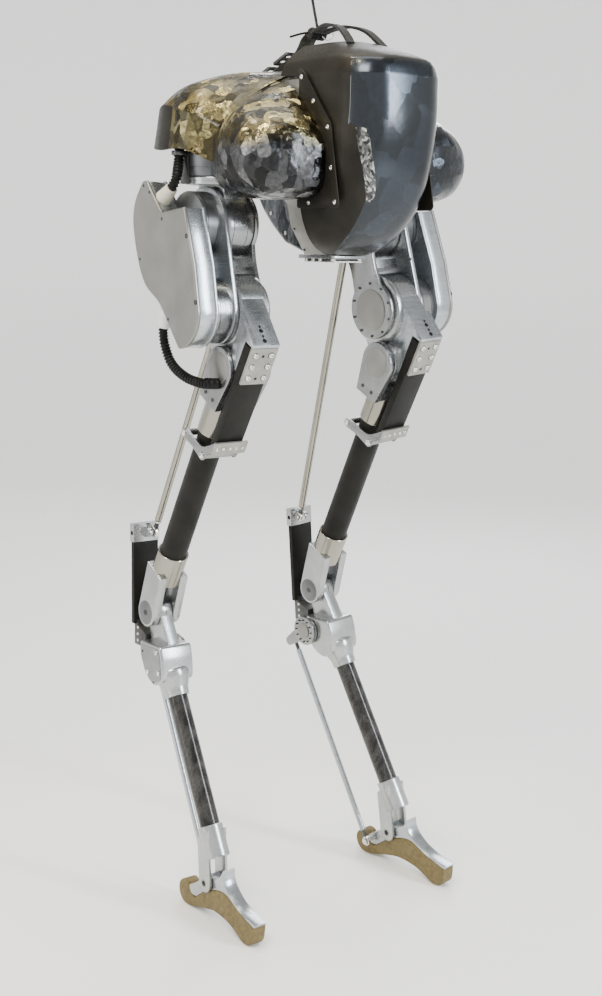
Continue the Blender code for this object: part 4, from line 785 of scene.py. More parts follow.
def ribbon(route, start_x, end_x, width, thick=0.0022):
    """A flat webbing strap with rounded selvedges along a (back, up) route that drifts sideways."""
    line = smooth(route, 8, False)
    work = bmesh.new()
    rings = []
    for i, (y, z) in enumerate(line):
        before, after = Vector(line[max(i - 1, 0)]), Vector(line[min(i + 1, len(line) - 1)])
        run = (after - before).normalized()
        lift = Vector((-run.y, run.x)) * (thick / 2)
        lift = -lift if lift.y < 0 else lift
        x = start_x + (end_x - start_x) * i / (len(line) - 1)
        section = [(-1, 0.35), (-0.94, 1), (0.94, 1), (1, 0.35),
                   (1, -0.35), (0.94, -1), (-0.94, -1), (-1, -0.35)]
        rings.append([work.verts.new((x + a * width / 2, y + lift.x * b, z + lift.y * b))
                      for a, b in section])
    for near, far in zip(rings, rings[1:]):
        for i in range(8):
            j = (i + 1) % 8
            work.faces.new((near[i], near[j], far[j], far[i]))
    work.faces.new(rings[0])
    work.faces.new(rings[-1])
    return from_bmesh(work)


def loop(centre, across, up, thick, axis=(1.0, 0.0, 0.0), steps=28):
    """A round wire ring, oval if across and up differ."""
    axis = Vector(axis).normalized()
    u = Vector((0.0, 0.0, 1.0))
    u = (u - axis * u.dot(axis)).normalized()
    v = axis.cross(u)
    work = bmesh.new()
    rings = []
    for i in range(steps):
        t = 2 * math.pi * i / steps
        out = v * (across * math.cos(t)) + u * (up * math.sin(t))
        ring = []
        for k in range(10):
            a = 2 * math.pi * k / 10
            ring.append(work.verts.new(Vector(centre) + out + thick * (
                out.normalized() * math.cos(a) + axis * math.sin(a))))
        rings.append(ring)
    for near, far in zip(rings, rings[1:] + rings[:1]):
        for k in range(10):
            work.faces.new((near[k], near[(k + 1) % 10], far[(k + 1) % 10], far[k]))
    return from_bmesh(work)


def lifting_strap():
    parts = [(ribbon(STRAP_REAR, 0.0, 0.0, STRAP_WIDTH), "olive_webbing")]
    for x in STRAP_SPREAD:
        start = math.copysign(0.004, x)
        parts.append((ribbon(STRAP_FRONT, start, x, FRONT_WIDTH, FRONT_THICK), "webbing"))
    for x in (-0.0085, -0.003, 0.003, 0.0085):
        parts.append((loop((x, 0.008, 0.1675), 0.0062, 0.0064, 0.0021), "webbing"))
    knot = lathe(chamfered(0.0078, -0.0125, 0.0125, 0.002), facing((0, 0.008, 0.1672), (1, 0, 0)), 20)
    parts.append((knot, "webbing"))
    tail = [(-0.010, 0.010, 0.1690), (-0.016, 0.022, 0.1680), (-0.022, 0.040, 0.1650)]
    parts.append((tube_path(tail, 0.0016, 8), "black_rubber"))
    wire = [(0.006, 0.002, 0.1730), (0.012, -0.010, 0.1690), (0.011, -0.014, 0.1620), (0.006, -0.007, 0.1585),
            (0.003, 0.000, 0.1640)]
    parts.append((tube_path(wire, 0.0008, 8), "white_plastic"))
    torso_piece("lifting_strap", parts, ["lifting_strap"], "webbing")


def strap_buckle():
    """Two dark ladder plates in steel frames, lying along the strap."""
    start, end = Vector((0.0, 0.050, 0.1440)), Vector((0.0, 0.126, 0.1160))
    run = (end - start).normalized()
    turn = Matrix.Translation(start) @ Matrix((
        (1, 0, 0, 0), (0, run.y, -run.z, 0), (0, run.z, run.y, 0), (0, 0, 0, 1)))
    parts = []
    for low, high, paint in ((0.000, 0.036, "dark_metal"), (0.046, 0.084, "dark_metal")):
        middle = (low + high) / 2
        frame_line = rounded([(-0.0205, low), (0.0205, low), (0.0205, high), (-0.0205, high)], 0.003, 4)
        holes = [rounded([(-0.015, a), (0.015, a), (0.015, b), (-0.015, b)], 0.002, 3)
                 for a, b in ((low + 0.005, middle - 0.002), (middle + 0.002, high - 0.005))]
        made = plate(frame_line, -0.0012, 0.0030, Matrix.Identity(4), 0.0010, holes)
        made.transform(turn)
        parts.append((made, paint))
        for along in (low + 0.0025, middle, high - 0.0025):
            bar = lathe(chamfered(0.0019, -0.0195, 0.0195, 0.0006),
                        turn @ facing((0.0, along, 0.0026), (1, 0, 0)), 14)
            parts.append((bar, "polished_steel"))
    torso_piece("strap_buckle", parts, ["strap_buckle"], "polished_steel")


TETHER_ROUTE = ((0.0, 0.008, 0.1775), (0.0, 0.012, 0.190), (0.0, 0.020, 0.214), (0.0, 0.028, 0.2360))
TETHER_R = 0.002


def tether():
    """The thin line the robot hangs slack from, up to its snap hook just above the view."""
    route = [Vector(p) + PELVIS for p in smooth(TETHER_ROUTE, 3, False)]
    curve = bpy.data.curves.new("tether", "CURVE")
    curve.dimensions = "3D"
    curve.bevel_depth = TETHER_R
    curve.bevel_resolution = 4
    curve.use_fill_caps = True
    spline = curve.splines.new("POLY")
    spline.points.add(len(route) - 1)
    for point, place in zip(spline.points, route):
        point.co = (*place, 1.0)
    curve.materials.append(materials["black_rubber"])
    line = bpy.data.objects.new("look_tether", curve)
    bpy.context.scene.collection.objects.link(line)
    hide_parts("tether")
    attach(line, "pelvis")
    middle = (0.0, 0.032, 0.2575)
    parts = [(loop(middle, 0.0095, 0.0175, 0.0028), "polished_steel"),
             (tube_path([(0.0, 0.0385, 0.2480), (0.0, 0.0405, 0.2575), (0.0, 0.0385, 0.2670)], 0.0022, 12),
              "dark_metal")]
    hook = torso_piece("tether_hook", parts, ["tether_hook"], "polished_steel")


# ---------------------------------------------------------------- one leg
class Leg:
    """Side-view points of one leg's joints at rest, and the matrices that place what is drawn."""

    def __init__(self, side):
        s = SIDES[side]
        self.side, self.sign = side, s
        self.mirror = Matrix.Diagonal((s, 1.0, 1.0, 1.0))
        base = (Matrix.Translation(PELVIS) @ Matrix.Translation((s * HIP_OUT, -ROLL_FORWARD, 0.0))
                @ Matrix.Rotation(-math.radians(ROLL[side]), 4, "Y"))
        self.rolled = base @ Matrix.Translation((-s * HIP_OUT, ROLL_FORWARD, 0.0)) @ self.mirror
        self.matrix = (base @ Matrix.Translation((0.0, ROLL_FORWARD + YAW_BACK, 0.0))
                       @ Matrix.Rotation(math.radians(YAW[side]), 4, "Z")
                       @ Matrix.Translation((s * (LEG_PLANE_OUT - HIP_OUT), 0.0, -HIP_DROP)) @ self.mirror)
        self.hip = Vector((0.0, 0.0))
        self.thigh_angle = HIP_PITCH
        self.knee_angle = HIP_PITCH + KNEE[side]
        self.tarsus_angle = HIP_PITCH + SPRING_ANGLE
        self.knee = THIGH * down(self.thigh_angle)
        self.shin_top = on_link(self.knee, self.knee_angle, SHIN_PIVOT)
        self.tarsus = on_link(self.shin_top, self.knee_angle, TARSUS_JOINT)
        self.spring_tip = self.tarsus - self.knee
        self.crank = on_link(self.tarsus, self.tarsus_angle, CRANK_AXIS)
        self.ankle = on_link(self.tarsus, self.tarsus_angle, ANKLE)
        self.foot_turn = math.radians(FOOT[side] - FOOT["right"])
        pin = Matrix.Rotation(self.foot_turn, 2) @ Vector(CRANK_PIN)
        self.crank_pin = self.crank + pin
        self.foot_pin = self.ankle + pin
        foot_line = self.tarsus - SHIN_LEAN * fore(self.knee_angle) - self.shin_top
        self.shin_axis = foot_line.normalized()

    def world(self, out, forward, up):
        return tuple(self.matrix @ Vector((out, -forward, up)))

    def thigh(self, front, along):
        return tuple(along * down(self.thigh_angle) + front * fore(self.thigh_angle))

    def shin(self, along, front):
        return tuple(on_link(self.knee, self.knee_angle, (along, front)))

    def shank(self, along, front=0.0):
        across = Vector((-self.shin_axis.y, self.shin_axis.x))
        return self.shin_top + along * self.shin_axis + front * across

    def tarsal(self, along, front):
        return tuple(on_link(self.tarsus, self.tarsus_angle, (along, front)))

    def cross_axis(self, centre):
        """Takes a turned shape's axis to the lateral line through a side-view point."""
        return Matrix(((0, 0, 1, 0), (1, 0, 0, -centre[0]), (0, 1, 0, centre[1]), (0, 0, 0, 1)))

    def disc(self, centre, radius, low, high, edge=0.0010, bore=0.0, grooves=(), steps=48):
        return lathe(chamfered(radius, low, high, edge, bore, grooves), self.cross_axis(centre), steps)

    def screw(self, centre, out, radius, height, side=1.0):
        return bolt((out, -centre[0], centre[1]), (side, 0.0, 0.0), radius, height)

    def bar(self, radius, start, end, steps=24, end_radius=None, edge=0.0005):
        a = Vector((start[0], -start[1][0], start[1][1]))
        b = Vector((end[0], -end[1][0], end[1][1]))
        reach, far = (b - a).length, radius if end_radius is None else end_radius
        profile = [(0.0, 0.0), (radius - edge, 0.0), (radius, edge), (far, reach - edge), (far - edge, reach),
                   (0.0, reach)]
        return lathe(profile, facing(a, b - a), steps)

    def turned(self, profile, start, end, steps=48):
        """A profile turned about the line between two side-view points of the leg plane."""
        along = (0.0, -(end[0] - start[0]), end[1] - start[1])
        return lathe(profile, facing((0.0, -start[0], start[1]), along), steps)

    def piece(self, name, parts, slot, body, **more):
        node = f"{name}_{self.side}"
        ride_on = body if body is None else f"{body}_{self.side}"
        return piece(node, parts, self.matrix, [node], slot, ride_on, **more)


HIP_SHELL = (
    (-0.008, (0.050, 0.112), (0.10, 0.088), (0.150, 0.055), (0.168, 0.035), (0.177, -0.012)),
    (0.030, (0.050, 0.116), (0.10, 0.108), (0.165, 0.085), (0.195, 0.055), (0.202, 0.006)),
    (0.080, (0.050, 0.116), (0.10, 0.112), (0.165, 0.092), (0.200, 0.065), (0.207, 0.006)),
    (0.125, (0.050, 0.107), (0.10, 0.100), (0.150, 0.080), (0.180, 0.055), (0.188, 0.012)),
    (0.142, (0.050, 0.082), (0.10, 0.075), (0.138, 0.060), (0.160, 0.045), (0.166, 0.018)))


def hip_shell(leg):
    rows = []
    for y, *row in HIP_SHELL:
        top = smooth([(x, y, z) for x, z in row[:4]], 6, False)
        wall = [Vector(top[-1]).lerp(Vector((row[4][0], y, row[4][1])), t) for t in (0.06, 0.5, 1.0)]
        rows.append(top + [tuple(p) for p in wall])
    columns = [smooth(column, 6, False) for column in zip(*rows)]
    count = len(rows[0])

    def paint(row, column, place):
        return 1 if column >= count - 4 and place.y > 0.052 else 0

    shell = skin([list(row) for row in zip(*columns)], 0.003, cap_last=True, paint=paint)
    parts = [(shell, ["bronze_composite", "flank_composite"])]
    piece(f"hip_shell_{leg.side}", parts, leg.rolled, [f"hip_shell_{leg.side}"], "forged_carbon",
          f"hip_roll_body_{leg.side}", angle=32.0)


def hip_roll_frame(leg):
    front = facing((HIP_OUT, REAR_Y, 0.0), (0, 1, 0))
    upright = facing((HIP_OUT, YAW_BACK, -0.0277), (0, 0, 1))
    neck = block((HIP_OUT - 0.029, 0.0040, -0.0274), (HIP_OUT + 0.029, 0.0300, 0.0290), 0.002)
    parts = [(lathe(chamfered(0.036, 0.0, 0.0062 - REAR_Y, 0.001), front), "satin_aluminium"),
             (lathe(chamfered(0.042, 0.0, 0.0777, 0.0015, 0.0, (0.012, 0.030, 0.060)), upright), "graphite"),
             (lathe(chamfered(0.030, 0.0767, 0.0857, 0.0015), upright), "dark_metal"), (neck, "graphite")]
    for i in range(8):
        turn = math.radians(45 * i + 22.5)
        spot = (HIP_OUT + 0.034 * math.cos(turn), YAW_BACK + 0.034 * math.sin(turn), 0.0498)
        parts.append((bolt(spot, (0, 0, 1), 0.0025, 0.002), "polished_steel"))
    piece(f"hip_roll_frame_{leg.side}", parts, leg.rolled, [f"hip_roll_frame_{leg.side}"], "dark_metal",
          f"hip_roll_body_{leg.side}")


GLAND = (0.0575, -0.010, 0.0922)
HOSE_R = 0.0072


def hip_yaw_hanger(leg):
    axis = facing((0.0045, 0.0, 0.0), (0, 0, 1))
    neck = plate(rounded([(-0.035, 0.028), (0.030, 0.028), (0.030, 0.054), (-0.035, 0.054)], 0.003), -0.024,
                 0.012, SIDE_VIEW, 0.002)
    arm = plate(rounded([(-0.020, 0.0520), (0.0, 0.0520), (0.0, 0.0952), (-0.020, 0.0952)], 0.003), 0.0440,
                0.0500)
    out, forward, up = GLAND
    ring = lathe(chamfered(0.0105, up - 0.003, up + 0.003, 0.0008, HOSE_R + 0.0006),
                 facing((out, -forward, 0.0), (0, 0, 1)), 32)
    parts = [(leg.disc((0, 0), 0.045, -0.029, 0.0155, 0.0025, 0.0, (-0.018, 0.004)), "satin_aluminium"),
             (neck, "cast_aluminium"), (arm, "dark_metal"), (ring, "dark_metal"),
             (lathe(chamfered(0.042, 0.0512, 0.0615, 0.0012, 0.0, (0.056,)), axis), "cast_aluminium")]
    leg.piece("hip_yaw_hanger", parts, "cast_aluminium", "hip_yaw_body")


COVER = ((0.0496, -0.008), (-0.006, -0.013), (-0.0345, -0.0683), (-0.045, -0.069), (-0.071, -0.050),
         (-0.0845, -0.022), (-0.0855, 0.025), (-0.075, 0.066), (-0.0455, 0.098), (-0.029, 0.130),
         (-0.012, 0.166))
"""Thigh cover in (front, along) from the hip axis, from its front corner over the notch to the rear."""
COVER_SCREWS = ((-0.0425, -0.0625, 0.0020), (-0.030, -0.050, 0.0020), (-0.0075, -0.0075, 0.0022),
                (0.0470, 0.030, 0.0033), (0.0470, 0.118, 0.0033), (-0.078, 0.030, 0.0020),
                (-0.026, 0.125, 0.0020))


def thigh_cover(leg):
    curved = [COVER[0]] + rounded(COVER[1:4], 0.004, 4)[:-5] + smooth(COVER[3:], 4, False)
    low = circle((0.0, 0.12), 0.0495, 20, 106.0, 0.0)
    outline = [leg.thigh(*p) for p in curved + low[1:] + [(0.0535, 0.07)]]
    outline = inset(outline, 0.0)
    parts = [(plate(outline, 0.0790, 0.085, SIDE_VIEW, 0.0022, steps=4), "satin_cover"),
             (plate(inset(outline, 0.0010), 0.0550, 0.0792, SIDE_VIEW, 0.0004), "milled"),
             (plate(outline, 0.0513, 0.0552, SIDE_VIEW, 0.0006), "milled")]
    parts += [(leg.screw(leg.thigh(*p), 0.0846, size, 0.0008), "black_screw") for *p, size in COVER_SCREWS]
    leg.piece("thigh_cover", parts, "satin_aluminium", "thigh")


def thigh_frame(leg):
    knee = leg.thigh(0.0, 0.12)
    shape = hull(circle((0, 0), 0.0500) + circle(knee, 0.0455))
    parts = [(plate(shape, 0.017, 0.0235, SIDE_VIEW, 0.0008), "milled"),
             (leg.disc((0, 0), 0.043, 0.023, 0.0508, 0.0015, 0.0, (0.029, 0.044)), "graphite"),
             (leg.disc(knee, 0.0440, 0.023, 0.0508, 0.0015, 0.0, (0.029, 0.0445)), "satin_aluminium")]
    for along in (-0.030, 0.060, 0.145):
        side = 0.0462 if along != 0.060 else 0.0478
        spot = leg.thigh(side if along == 0.060 else 0.034, along)
        parts.append((leg.screw(spot, 0.0170, 0.0020, 0.0004, -1.0), "black_screw"))
    leg.piece("thigh_frame", parts, "dark_metal", "thigh")


def rim_bolts(leg, centre, radius, count, out, size, side, paint, start=0.0):
    spots = circle(centre, radius, count, start, start + 360.0)
    return [(leg.screw(p, out, size, 0.0022, side), paint) for p in spots]


def thigh_inner_cover(leg):
    low, high = -0.0365, -0.0295
    knee = leg.thigh(0.0, 0.12)
    neck = [leg.thigh(*p) for p in smooth([(0.030, 0.02), (0.0255, 0.06), (0.030, 0.10)], 6, False)]
    neck += [leg.thigh(*p) for p in smooth([(-0.030, 0.10), (-0.0255, 0.06), (-0.030, 0.02)], 6, False)]
    bar = [leg.thigh(*p) for p in ((0.018, 0.0515), (0.018, 0.0635), (-0.018, 0.0635), (-0.018, 0.0515))]
    parts = [(leg.disc((0, 0), 0.045, low, high, 0.0018), "satin_aluminium"),
             (leg.disc(knee, 0.043, low, high, 0.0018), "satin_aluminium"),
             (leg.disc(knee, 0.030, low - 0.0012, low + 0.001, 0.0010), "satin_cover"),
             (plate(neck, low + 0.0005, high - 0.0005, SIDE_VIEW, 0.0006), "satin_aluminium"),
             (plate(bar, high - 0.001, 0.0167), "satin_aluminium"),
             (leg.disc((0, 0), 0.004, -0.053, low + 0.001, 0.0006, steps=24), "polished_steel"),
             (leg.disc((0, 0), 0.0065, -0.0535, -0.0510, 0.0008, steps=6), "dark_metal")]
    parts += rim_bolts(leg, knee, 0.0385, 10, low + 0.0004, 0.0019, -1.0, "dark_metal", 18.0)
    parts += rim_bolts(leg, (0, 0), 0.0400, 10, low + 0.0004, 0.0019, -1.0, "dark_metal", 18.0)
    leg.piece("thigh_inner_cover", parts, "satin_aluminium", "thigh")


def hose_boot(leg):
    start, end = Vector((-0.0290, 0.0325)), Vector((-0.0080, 0.0462))
    parts = [(leg.bar(0.0115, (0.0705, start), (0.0700, end), 32, 0.0082, 0.0008), "cream_plastic")]
    leg.piece("hose_boot", parts, "cream_plastic", "thigh")


def bent_hose(leg, name, parts, start, end):
    obj = leg.piece(name, parts, "black_rubber", None)
    leg.world(*start)
    leg.world(*end)
    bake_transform(obj)


def hose_upper(leg):
    route = [(0.0705, -0.0150, 0.0415), (0.0700, -0.0085, 0.0460), (0.0655, -0.0040, 0.0600),
             (0.0582, -0.0100, 0.0830), (GLAND[0], GLAND[1], 0.0960), (0.0500, -0.0120, 0.1180)]
    parts = [(tube_path([(o, -f, u) for o, f, u in route], HOSE_R, 20, 0.0016, 0.0044), "black_rubber")]
    bent_hose(leg, "hose_upper", parts, route[-1], route[0])


def hose_lower(leg):
    route = [(0.068, -0.0270, -0.1230), (0.0675, -0.0340, -0.1400), (0.0665, -0.0320, -0.1640),
             (0.0630, -0.0190, -0.1900), (0.0560, 0.0040, -0.2060), (0.0460, 0.0270, -0.2130),
             (0.0365, 0.0435, -0.2135), (0.0285, 0.0435, -0.2135)]
    gland = leg.bar(0.0105, (0.068, Vector((-0.0153, -0.1120))), (0.068, Vector((-0.0283, -0.1240))), 28)
    sleeve = leg.bar(0.0098, (0.0680, Vector((-0.0270, -0.1228))), (0.0676, Vector((-0.0338, -0.1400))),
                     28, 0.0086)
    cuff = leg.bar(0.0078, (0.0430, Vector((0.0325, -0.2133))), (0.0286, Vector((0.0435, -0.2135))), 24)
    parts = [(tube_path([(o, -f, u) for o, f, u in route], HOSE_R, 20, 0.0016, 0.0044), "black_rubber"),
             (gland, "white_plastic"), (sleeve, "white_plastic"), (cuff, "black_rubber")]
    bent_hose(leg, "hose_lower", parts, route[1], route[-2])


# ---------------------------------------------------------------- shin
KNEE_ARM = ((-0.048, 0.012), (-0.008, 0.0965), (-0.003, 0.0965), (-0.003, 0.078), (0.055, 0.078),
            (0.082, 0.070), (0.088, 0.055), (0.078, 0.026), (0.040, -0.020), (-0.020, -0.020))
LEAF_FACE, LEAF_FRONT, LEAF_END, GAP = 0.0785, 0.0925, 0.175, 0.0003


def knee_arm(leg):
    web = [leg.shin(*p) for p in rounded(KNEE_ARM, 0.0015, 3)]
    seat = [leg.shin(*p) for p in ((-0.0266, 0.056), (-0.008, 0.0963), (-0.0032, 0.0963), (-0.0032, 0.0778),
                                   (0.0450, 0.0778), (0.028, 0.056))]
    parts = [(leg.disc(leg.knee, 0.050, -0.0285, 0.0155, 0.0018, 0.0, (-0.020, 0.008), 64), "cast_aluminium"),
             (plate(web, -0.0217, 0.0150, SIDE_VIEW, 0.0010), "milled"),
             (plate(seat, -0.0220, 0.0220, SIDE_VIEW, 0.0008), "milled"),
             (leg.disc(leg.shin_top, 0.028, -0.0285, 0.0155, 0.0010), "cast_aluminium")]
    top, tip = Vector(leg.shin(-0.048, 0.012)), Vector(leg.shin(-0.008, 0.0965))
    run = (tip - top).normalized()
    outward = Vector((0.0, run.y, run.x))
    # Painted shade: dark discs sunk in the seat for the shaded mouths of its screw holes.
    for share, size in ((0.69, 0.0020), (0.76, 0.0032), (0.85, 0.0020), (0.925, 0.0032)):
        spot = top.lerp(tip, share) + 0.0002 * Vector((-run.y, run.x))
        parts.append((shade_disc((0.001, -spot.x, spot.y), outward, size), "black_screw"))
    leg.piece("knee_arm", parts, "cast_aluminium", "shin")


def shade_disc(place, direction, radius):
    """Painted shade: a dark disc for the shaded mouth of a hole, or the painted shadow line round a screw
    head.
    """
    rim = [(0.0, 0.0003), (radius * 0.9, 0.0003), (radius, 0.0001), (radius, -0.0010), (0.0, -0.0010)]
    return lathe(rim, facing(place, direction), 20)


def leaf_spring(leg):
    outline = [leg.shin(*p) for p in ((0.0, LEAF_FACE), (0.0, LEAF_FRONT), (LEAF_END, LEAF_FRONT - 0.003),
                                      (LEAF_END, LEAF_FACE))]
    leg.piece("leaf_spring", [(plate(outline, -0.0220, 0.0220, SIDE_VIEW, 0.0007), "matte_composite")],
              "matte_composite", "shin")


def leaf_clamp(leg):
    face = LEAF_FRONT + GAP
    outline = [leg.shin(*p) for p in ((-0.0026, face), (-0.0026, face + 0.004), (0.0545, face + 0.004),
                                      (0.0545, face))]
    parts = [(plate(outline, -0.0215, 0.0215, SIDE_VIEW, 0.0006), "clamp_plate")]
    forward = Vector(leg.shin(0.0, 1.0)) - Vector(leg.shin(0.0, 0.0))
    normal = (0.0, -forward.x, forward.y)
    # Each domed screw sits in a dark disc a little wider than its head: painted shadow round the head.
    for along in (0.008, 0.026, 0.044):
        spot = leg.shin(along, face + 0.0038)
        for out in (-0.0125, 0.0125):
            parts.append((bolt((out, -spot[0], spot[1]), normal, 0.0042, 0.0026, 0.4, 0.75),
                          "polished_steel"))
            parts.append((shade_disc((out, -spot[0], spot[1]), normal, 0.0050), "black_screw"))
    # Painted shade: dark discs for the shaded mouths of the two holes.
    for along in (0.0095, 0.0455):
        spot = leg.shin(along, face + 0.0040)
        parts.append((shade_disc((0.0, -spot[0], spot[1]), normal, 0.0021), "black_screw"))
    leg.piece("leaf_clamp", parts, "cast_aluminium", "shin")


def leaf_link(leg):
    face = LEAF_FRONT + GAP
    strip = [leg.shin(*p) for p in ((0.1540, face), (0.1540, face + 0.003), (0.1735, face + 0.003),
                                    (0.1735, face))]
    side = [leg.shin(*p) for p in smooth(
        [(0.1545, face + 0.0015), (0.1625, face + 0.0024), (0.1720, face), (0.1840, 0.0835), (0.1940, 0.0800),
         (0.1945, 0.0720), (0.1925, 0.0480), (0.1945, 0.0225), (0.1890, 0.0172), (0.1815, 0.0215),
         (0.1800, 0.0480), (0.1770, 0.0700), (0.1640, 0.0850)], 4)]
    parts = [(plate(strip, -0.0278, 0.0278, SIDE_VIEW, 0.0006), "clamp_plate"),
             (plate(side, 0.0242, 0.0282), "satin_aluminium"),
             (plate(side, -0.0282, -0.0242), "satin_aluminium")]
    for front in (0.0765, 0.0230):
        spot = leg.shin(0.188, front)
        parts.append((leg.disc(spot, 0.005, -0.025, 0.025, 0.0006, 0.0, (), 28), "satin_aluminium"))
        parts += [(leg.screw(spot, s * 0.0280, 0.0048, 0.0024, s), "polished_steel") for s in (1, -1)]
    forward = Vector(leg.shin(0.0, 1.0)) - Vector(leg.shin(0.0, 0.0))
    spot = leg.shin(0.1645, face + 0.0029)
    for out in (-0.021, -0.0105, 0.0, 0.0105, 0.021):
        normal = (0.0, -forward.x, forward.y)
        parts.append((bolt((out, -spot[0], spot[1]), normal, 0.0024, 0.0014, 0.4, 0.6), "polished_steel"))
    leg.piece("leaf_link", parts, "dark_metal", "shin")


def hollow(outer, bore, length, edge=0.0006):
    return [(bore + edge, 0.0), (outer - edge, 0.0), (outer, edge), (outer, length - edge),
            (outer - edge, length), (bore + edge, length), (bore, length - edge), (bore, edge),
            (bore + edge, 0.0)]


def shin_tube(leg):
    a, b = leg.shank(0.0585), leg.shank(0.345)
    leg.piece("shin_tube", [(leg.turned(hollow(0.020, 0.018, (b - a).length), a, b), "matte_composite")],
              "matte_composite", "shin")


def shin_top_fitting(leg):
    arm = hull(circle(leg.shin_top, 0.030)
               + [tuple(leg.shank(0.058, across)) for across in (0.021, -0.021)])
    bridge = [tuple(leg.shank(*p)) for p in ((0.0345, 0.020), (0.0345, -0.020), (0.0575, -0.020),
                                             (0.0575, 0.020))]
    a, b = leg.shank(0.0560), leg.shank(0.107)
    parts = [(plate(arm, 0.0165, 0.0270, SIDE_VIEW, 0.0015, steps=3), "satin_aluminium"),
             (plate(arm, -0.0410, -0.0300, SIDE_VIEW, 0.0015, steps=3), "satin_aluminium"),
             (plate(bridge, -0.0405, 0.0265, SIDE_VIEW, 0.002, steps=3), "cast_aluminium"),
             (leg.turned(hollow(0.0234, 0.0203, (b - a).length), a, b), "champagne"),
             (leg.disc(leg.shin_top, 0.0225, 0.0262, 0.0276, 0.0008), "satin_cover"),
             (leg.disc(leg.shin_top, 0.0225, -0.0416, -0.0402, 0.0008), "satin_cover")]
    for s, out in ((1, 0.0270), (-1, -0.0410)):
        for front in (-0.010, 0.010):
            spot = leg.shank(0.046, front)
            parts.append((leg.screw(spot, out, 0.0028, 0.0010, s), "dark_metal"))
    leg.piece("shin_top_fitting", parts, "satin_aluminium", "shin")


def socket_profile(outer, bore, length, depth, edge=0.0006):
    return [(0.0, depth), (bore, depth), (bore, edge), (bore + edge, 0.0), (outer - edge, 0.0), (outer, edge),
            (outer, length - 0.002), (outer - 0.002, length), (0.0, length)]


def shin_fork(leg):
    a, b = leg.shank(0.328), leg.shank(0.387)
    slot = leg.disc(leg.tarsus, 0.056, -0.0114, 0.0114, 0.0004, steps=64)
    sleeve = cut(leg.turned(socket_profile(0.0234, 0.0203, (b - a).length, 0.0255), a, b), slot)
    lug = hull(circle(leg.tarsus, 0.022)
               + [tuple(leg.shank(0.362, across)) for across in (0.0215, -0.0215)])
    parts = [(sleeve, "champagne")]
    for s in (1, -1):
        ends = sorted((s * 0.0115, s * 0.0245))
        parts.append((plate(lug, *ends, SIDE_VIEW, 0.0016, steps=3), "cast_aluminium"))
        parts.append((leg.disc(leg.tarsus, 0.0185, *sorted((s * 0.0240, s * 0.0251)), 0.0004), "graphite"))
        parts.append((leg.screw(leg.tarsus, s * 0.0250, 0.0042, 0.0012, s), "dark_metal"))
    leg.piece("shin_fork", parts, "satin_aluminium", "shin")


def rod_end(leg, centre, outer, bore, low, high, paint="polished_steel"):
    """A rod's eye with the ball of its bearing showing on both faces."""
    middle, half = (low + high) / 2, (high - low) / 2
    eye = leg.disc(centre, outer, low + half * 0.2, high - half * 0.2, 0.0008, bore + 0.0009, steps=36)
    ball = [(bore, -half), (bore + 0.0006, -half), (bore + 0.0013, 0.0), (bore + 0.0006, half), (bore, half),
            (bore, -half)]
    turned = lathe(ball, leg.cross_axis(centre) @ Matrix.Translation((0, 0, middle)), 36)
    return [(eye, paint), (turned, "satin_aluminium")]


def achilles_rod(leg):
    top_out, low_out = -0.0465, -0.010
    run = leg.spring_tip - leg.hip
    reach, step = run.length, run.normalized()

    def at(along):
        return (top_out + (low_out - top_out) * along / reach, leg.hip + step * along)

    parts = rod_end(leg, leg.hip, 0.009, 0.0045, top_out - 0.004, top_out + 0.004)
    parts += rod_end(leg, leg.spring_tip, 0.008, 0.0036, low_out - 0.005, low_out + 0.005)
    parts.append((leg.bar(0.0055, at(0.020), at(reach - 0.020), 32, None, 0.001), "champagne"))
    parts.append((leg.bar(0.0036, at(0.0072), at(0.022), 20), "dark_metal"))
    parts.append((leg.bar(0.0036, at(reach - 0.022), at(reach - 0.0064), 20), "dark_metal"))
    for along in (0.0165, reach - 0.0195):
        parts.append((leg.bar(0.0054, at(along), at(along + 0.003), 6), "polished_steel"))
    leg.piece("achilles_rod", parts, "polished_steel", "achilles")


# ---------------------------------------------------------------- tarsus and foot
TARSUS_SIDE = ((0.034, -0.033), (0.055, -0.042), (0.082, -0.042), (0.097, -0.036), (0.110, -0.024),
               (0.110, 0.002), (0.102, 0.008), (0.079, 0.017), (0.060, 0.021), (0.050, -0.001))
TUBE_BACK = -0.010
FLARE = ((0.016, 0.000), (0.0255, 0.001), (0.0262, 0.010), (0.0225, 0.021), (0.0193, 0.030), (0.0187, 0.038),
         (0.0160, 0.0395), (0.0157, 0.020), (0.016, 0.000))


def tarsus_body(leg):
    neck = [leg.tarsal(*p) for p in ((0.0, -0.017), (0.0, 0.015), (0.060, 0.017), (0.060, -0.036))]
    casting = [leg.tarsal(*p) for p in rounded(TARSUS_SIDE, 0.006, 5)]
    panel = inset(casting, 0.0045)
    a, b = (Vector(leg.tarsal(along, TUBE_BACK)) for along in (0.108, 0.133))
    parts = [(leg.disc(leg.tarsus, 0.0205, -0.0108, 0.0108, 0.0010, 0.0, (0.0,)), "satin_aluminium"),
             (plate(neck, -0.0106, 0.0106, SIDE_VIEW, 0.0015), "cast_aluminium"),
             (plate(casting, -0.0280, 0.0280, SIDE_VIEW, 0.0042, steps=4), "cast_aluminium"),
             (plate(panel, 0.0272, 0.0286, SIDE_VIEW, 0.0005), "satin_aluminium"),
             (leg.turned(hollow(0.0185, 0.0153, (b - a).length), a, b), "cast_aluminium"),
             (leg.turned(smooth(FLARE, 4, False), leg.tarsal(0.092, TUBE_BACK), b), "cast_aluminium")]
    for p in ((0.0850, -0.0300), (0.0650, 0.0080), (0.0950, 0.0000)):
        parts.append((leg.screw(leg.tarsal(*p), 0.0284, 0.0038, 0.0019), "polished_steel"))
    for p in ((0.052, -0.030), (0.104, -0.022)):
        parts.append((leg.screw(leg.tarsal(*p), 0.0284, 0.0018, 0.0006), "black_screw"))
    leg.piece("tarsus_body", parts, "cast_aluminium", "tarsus")


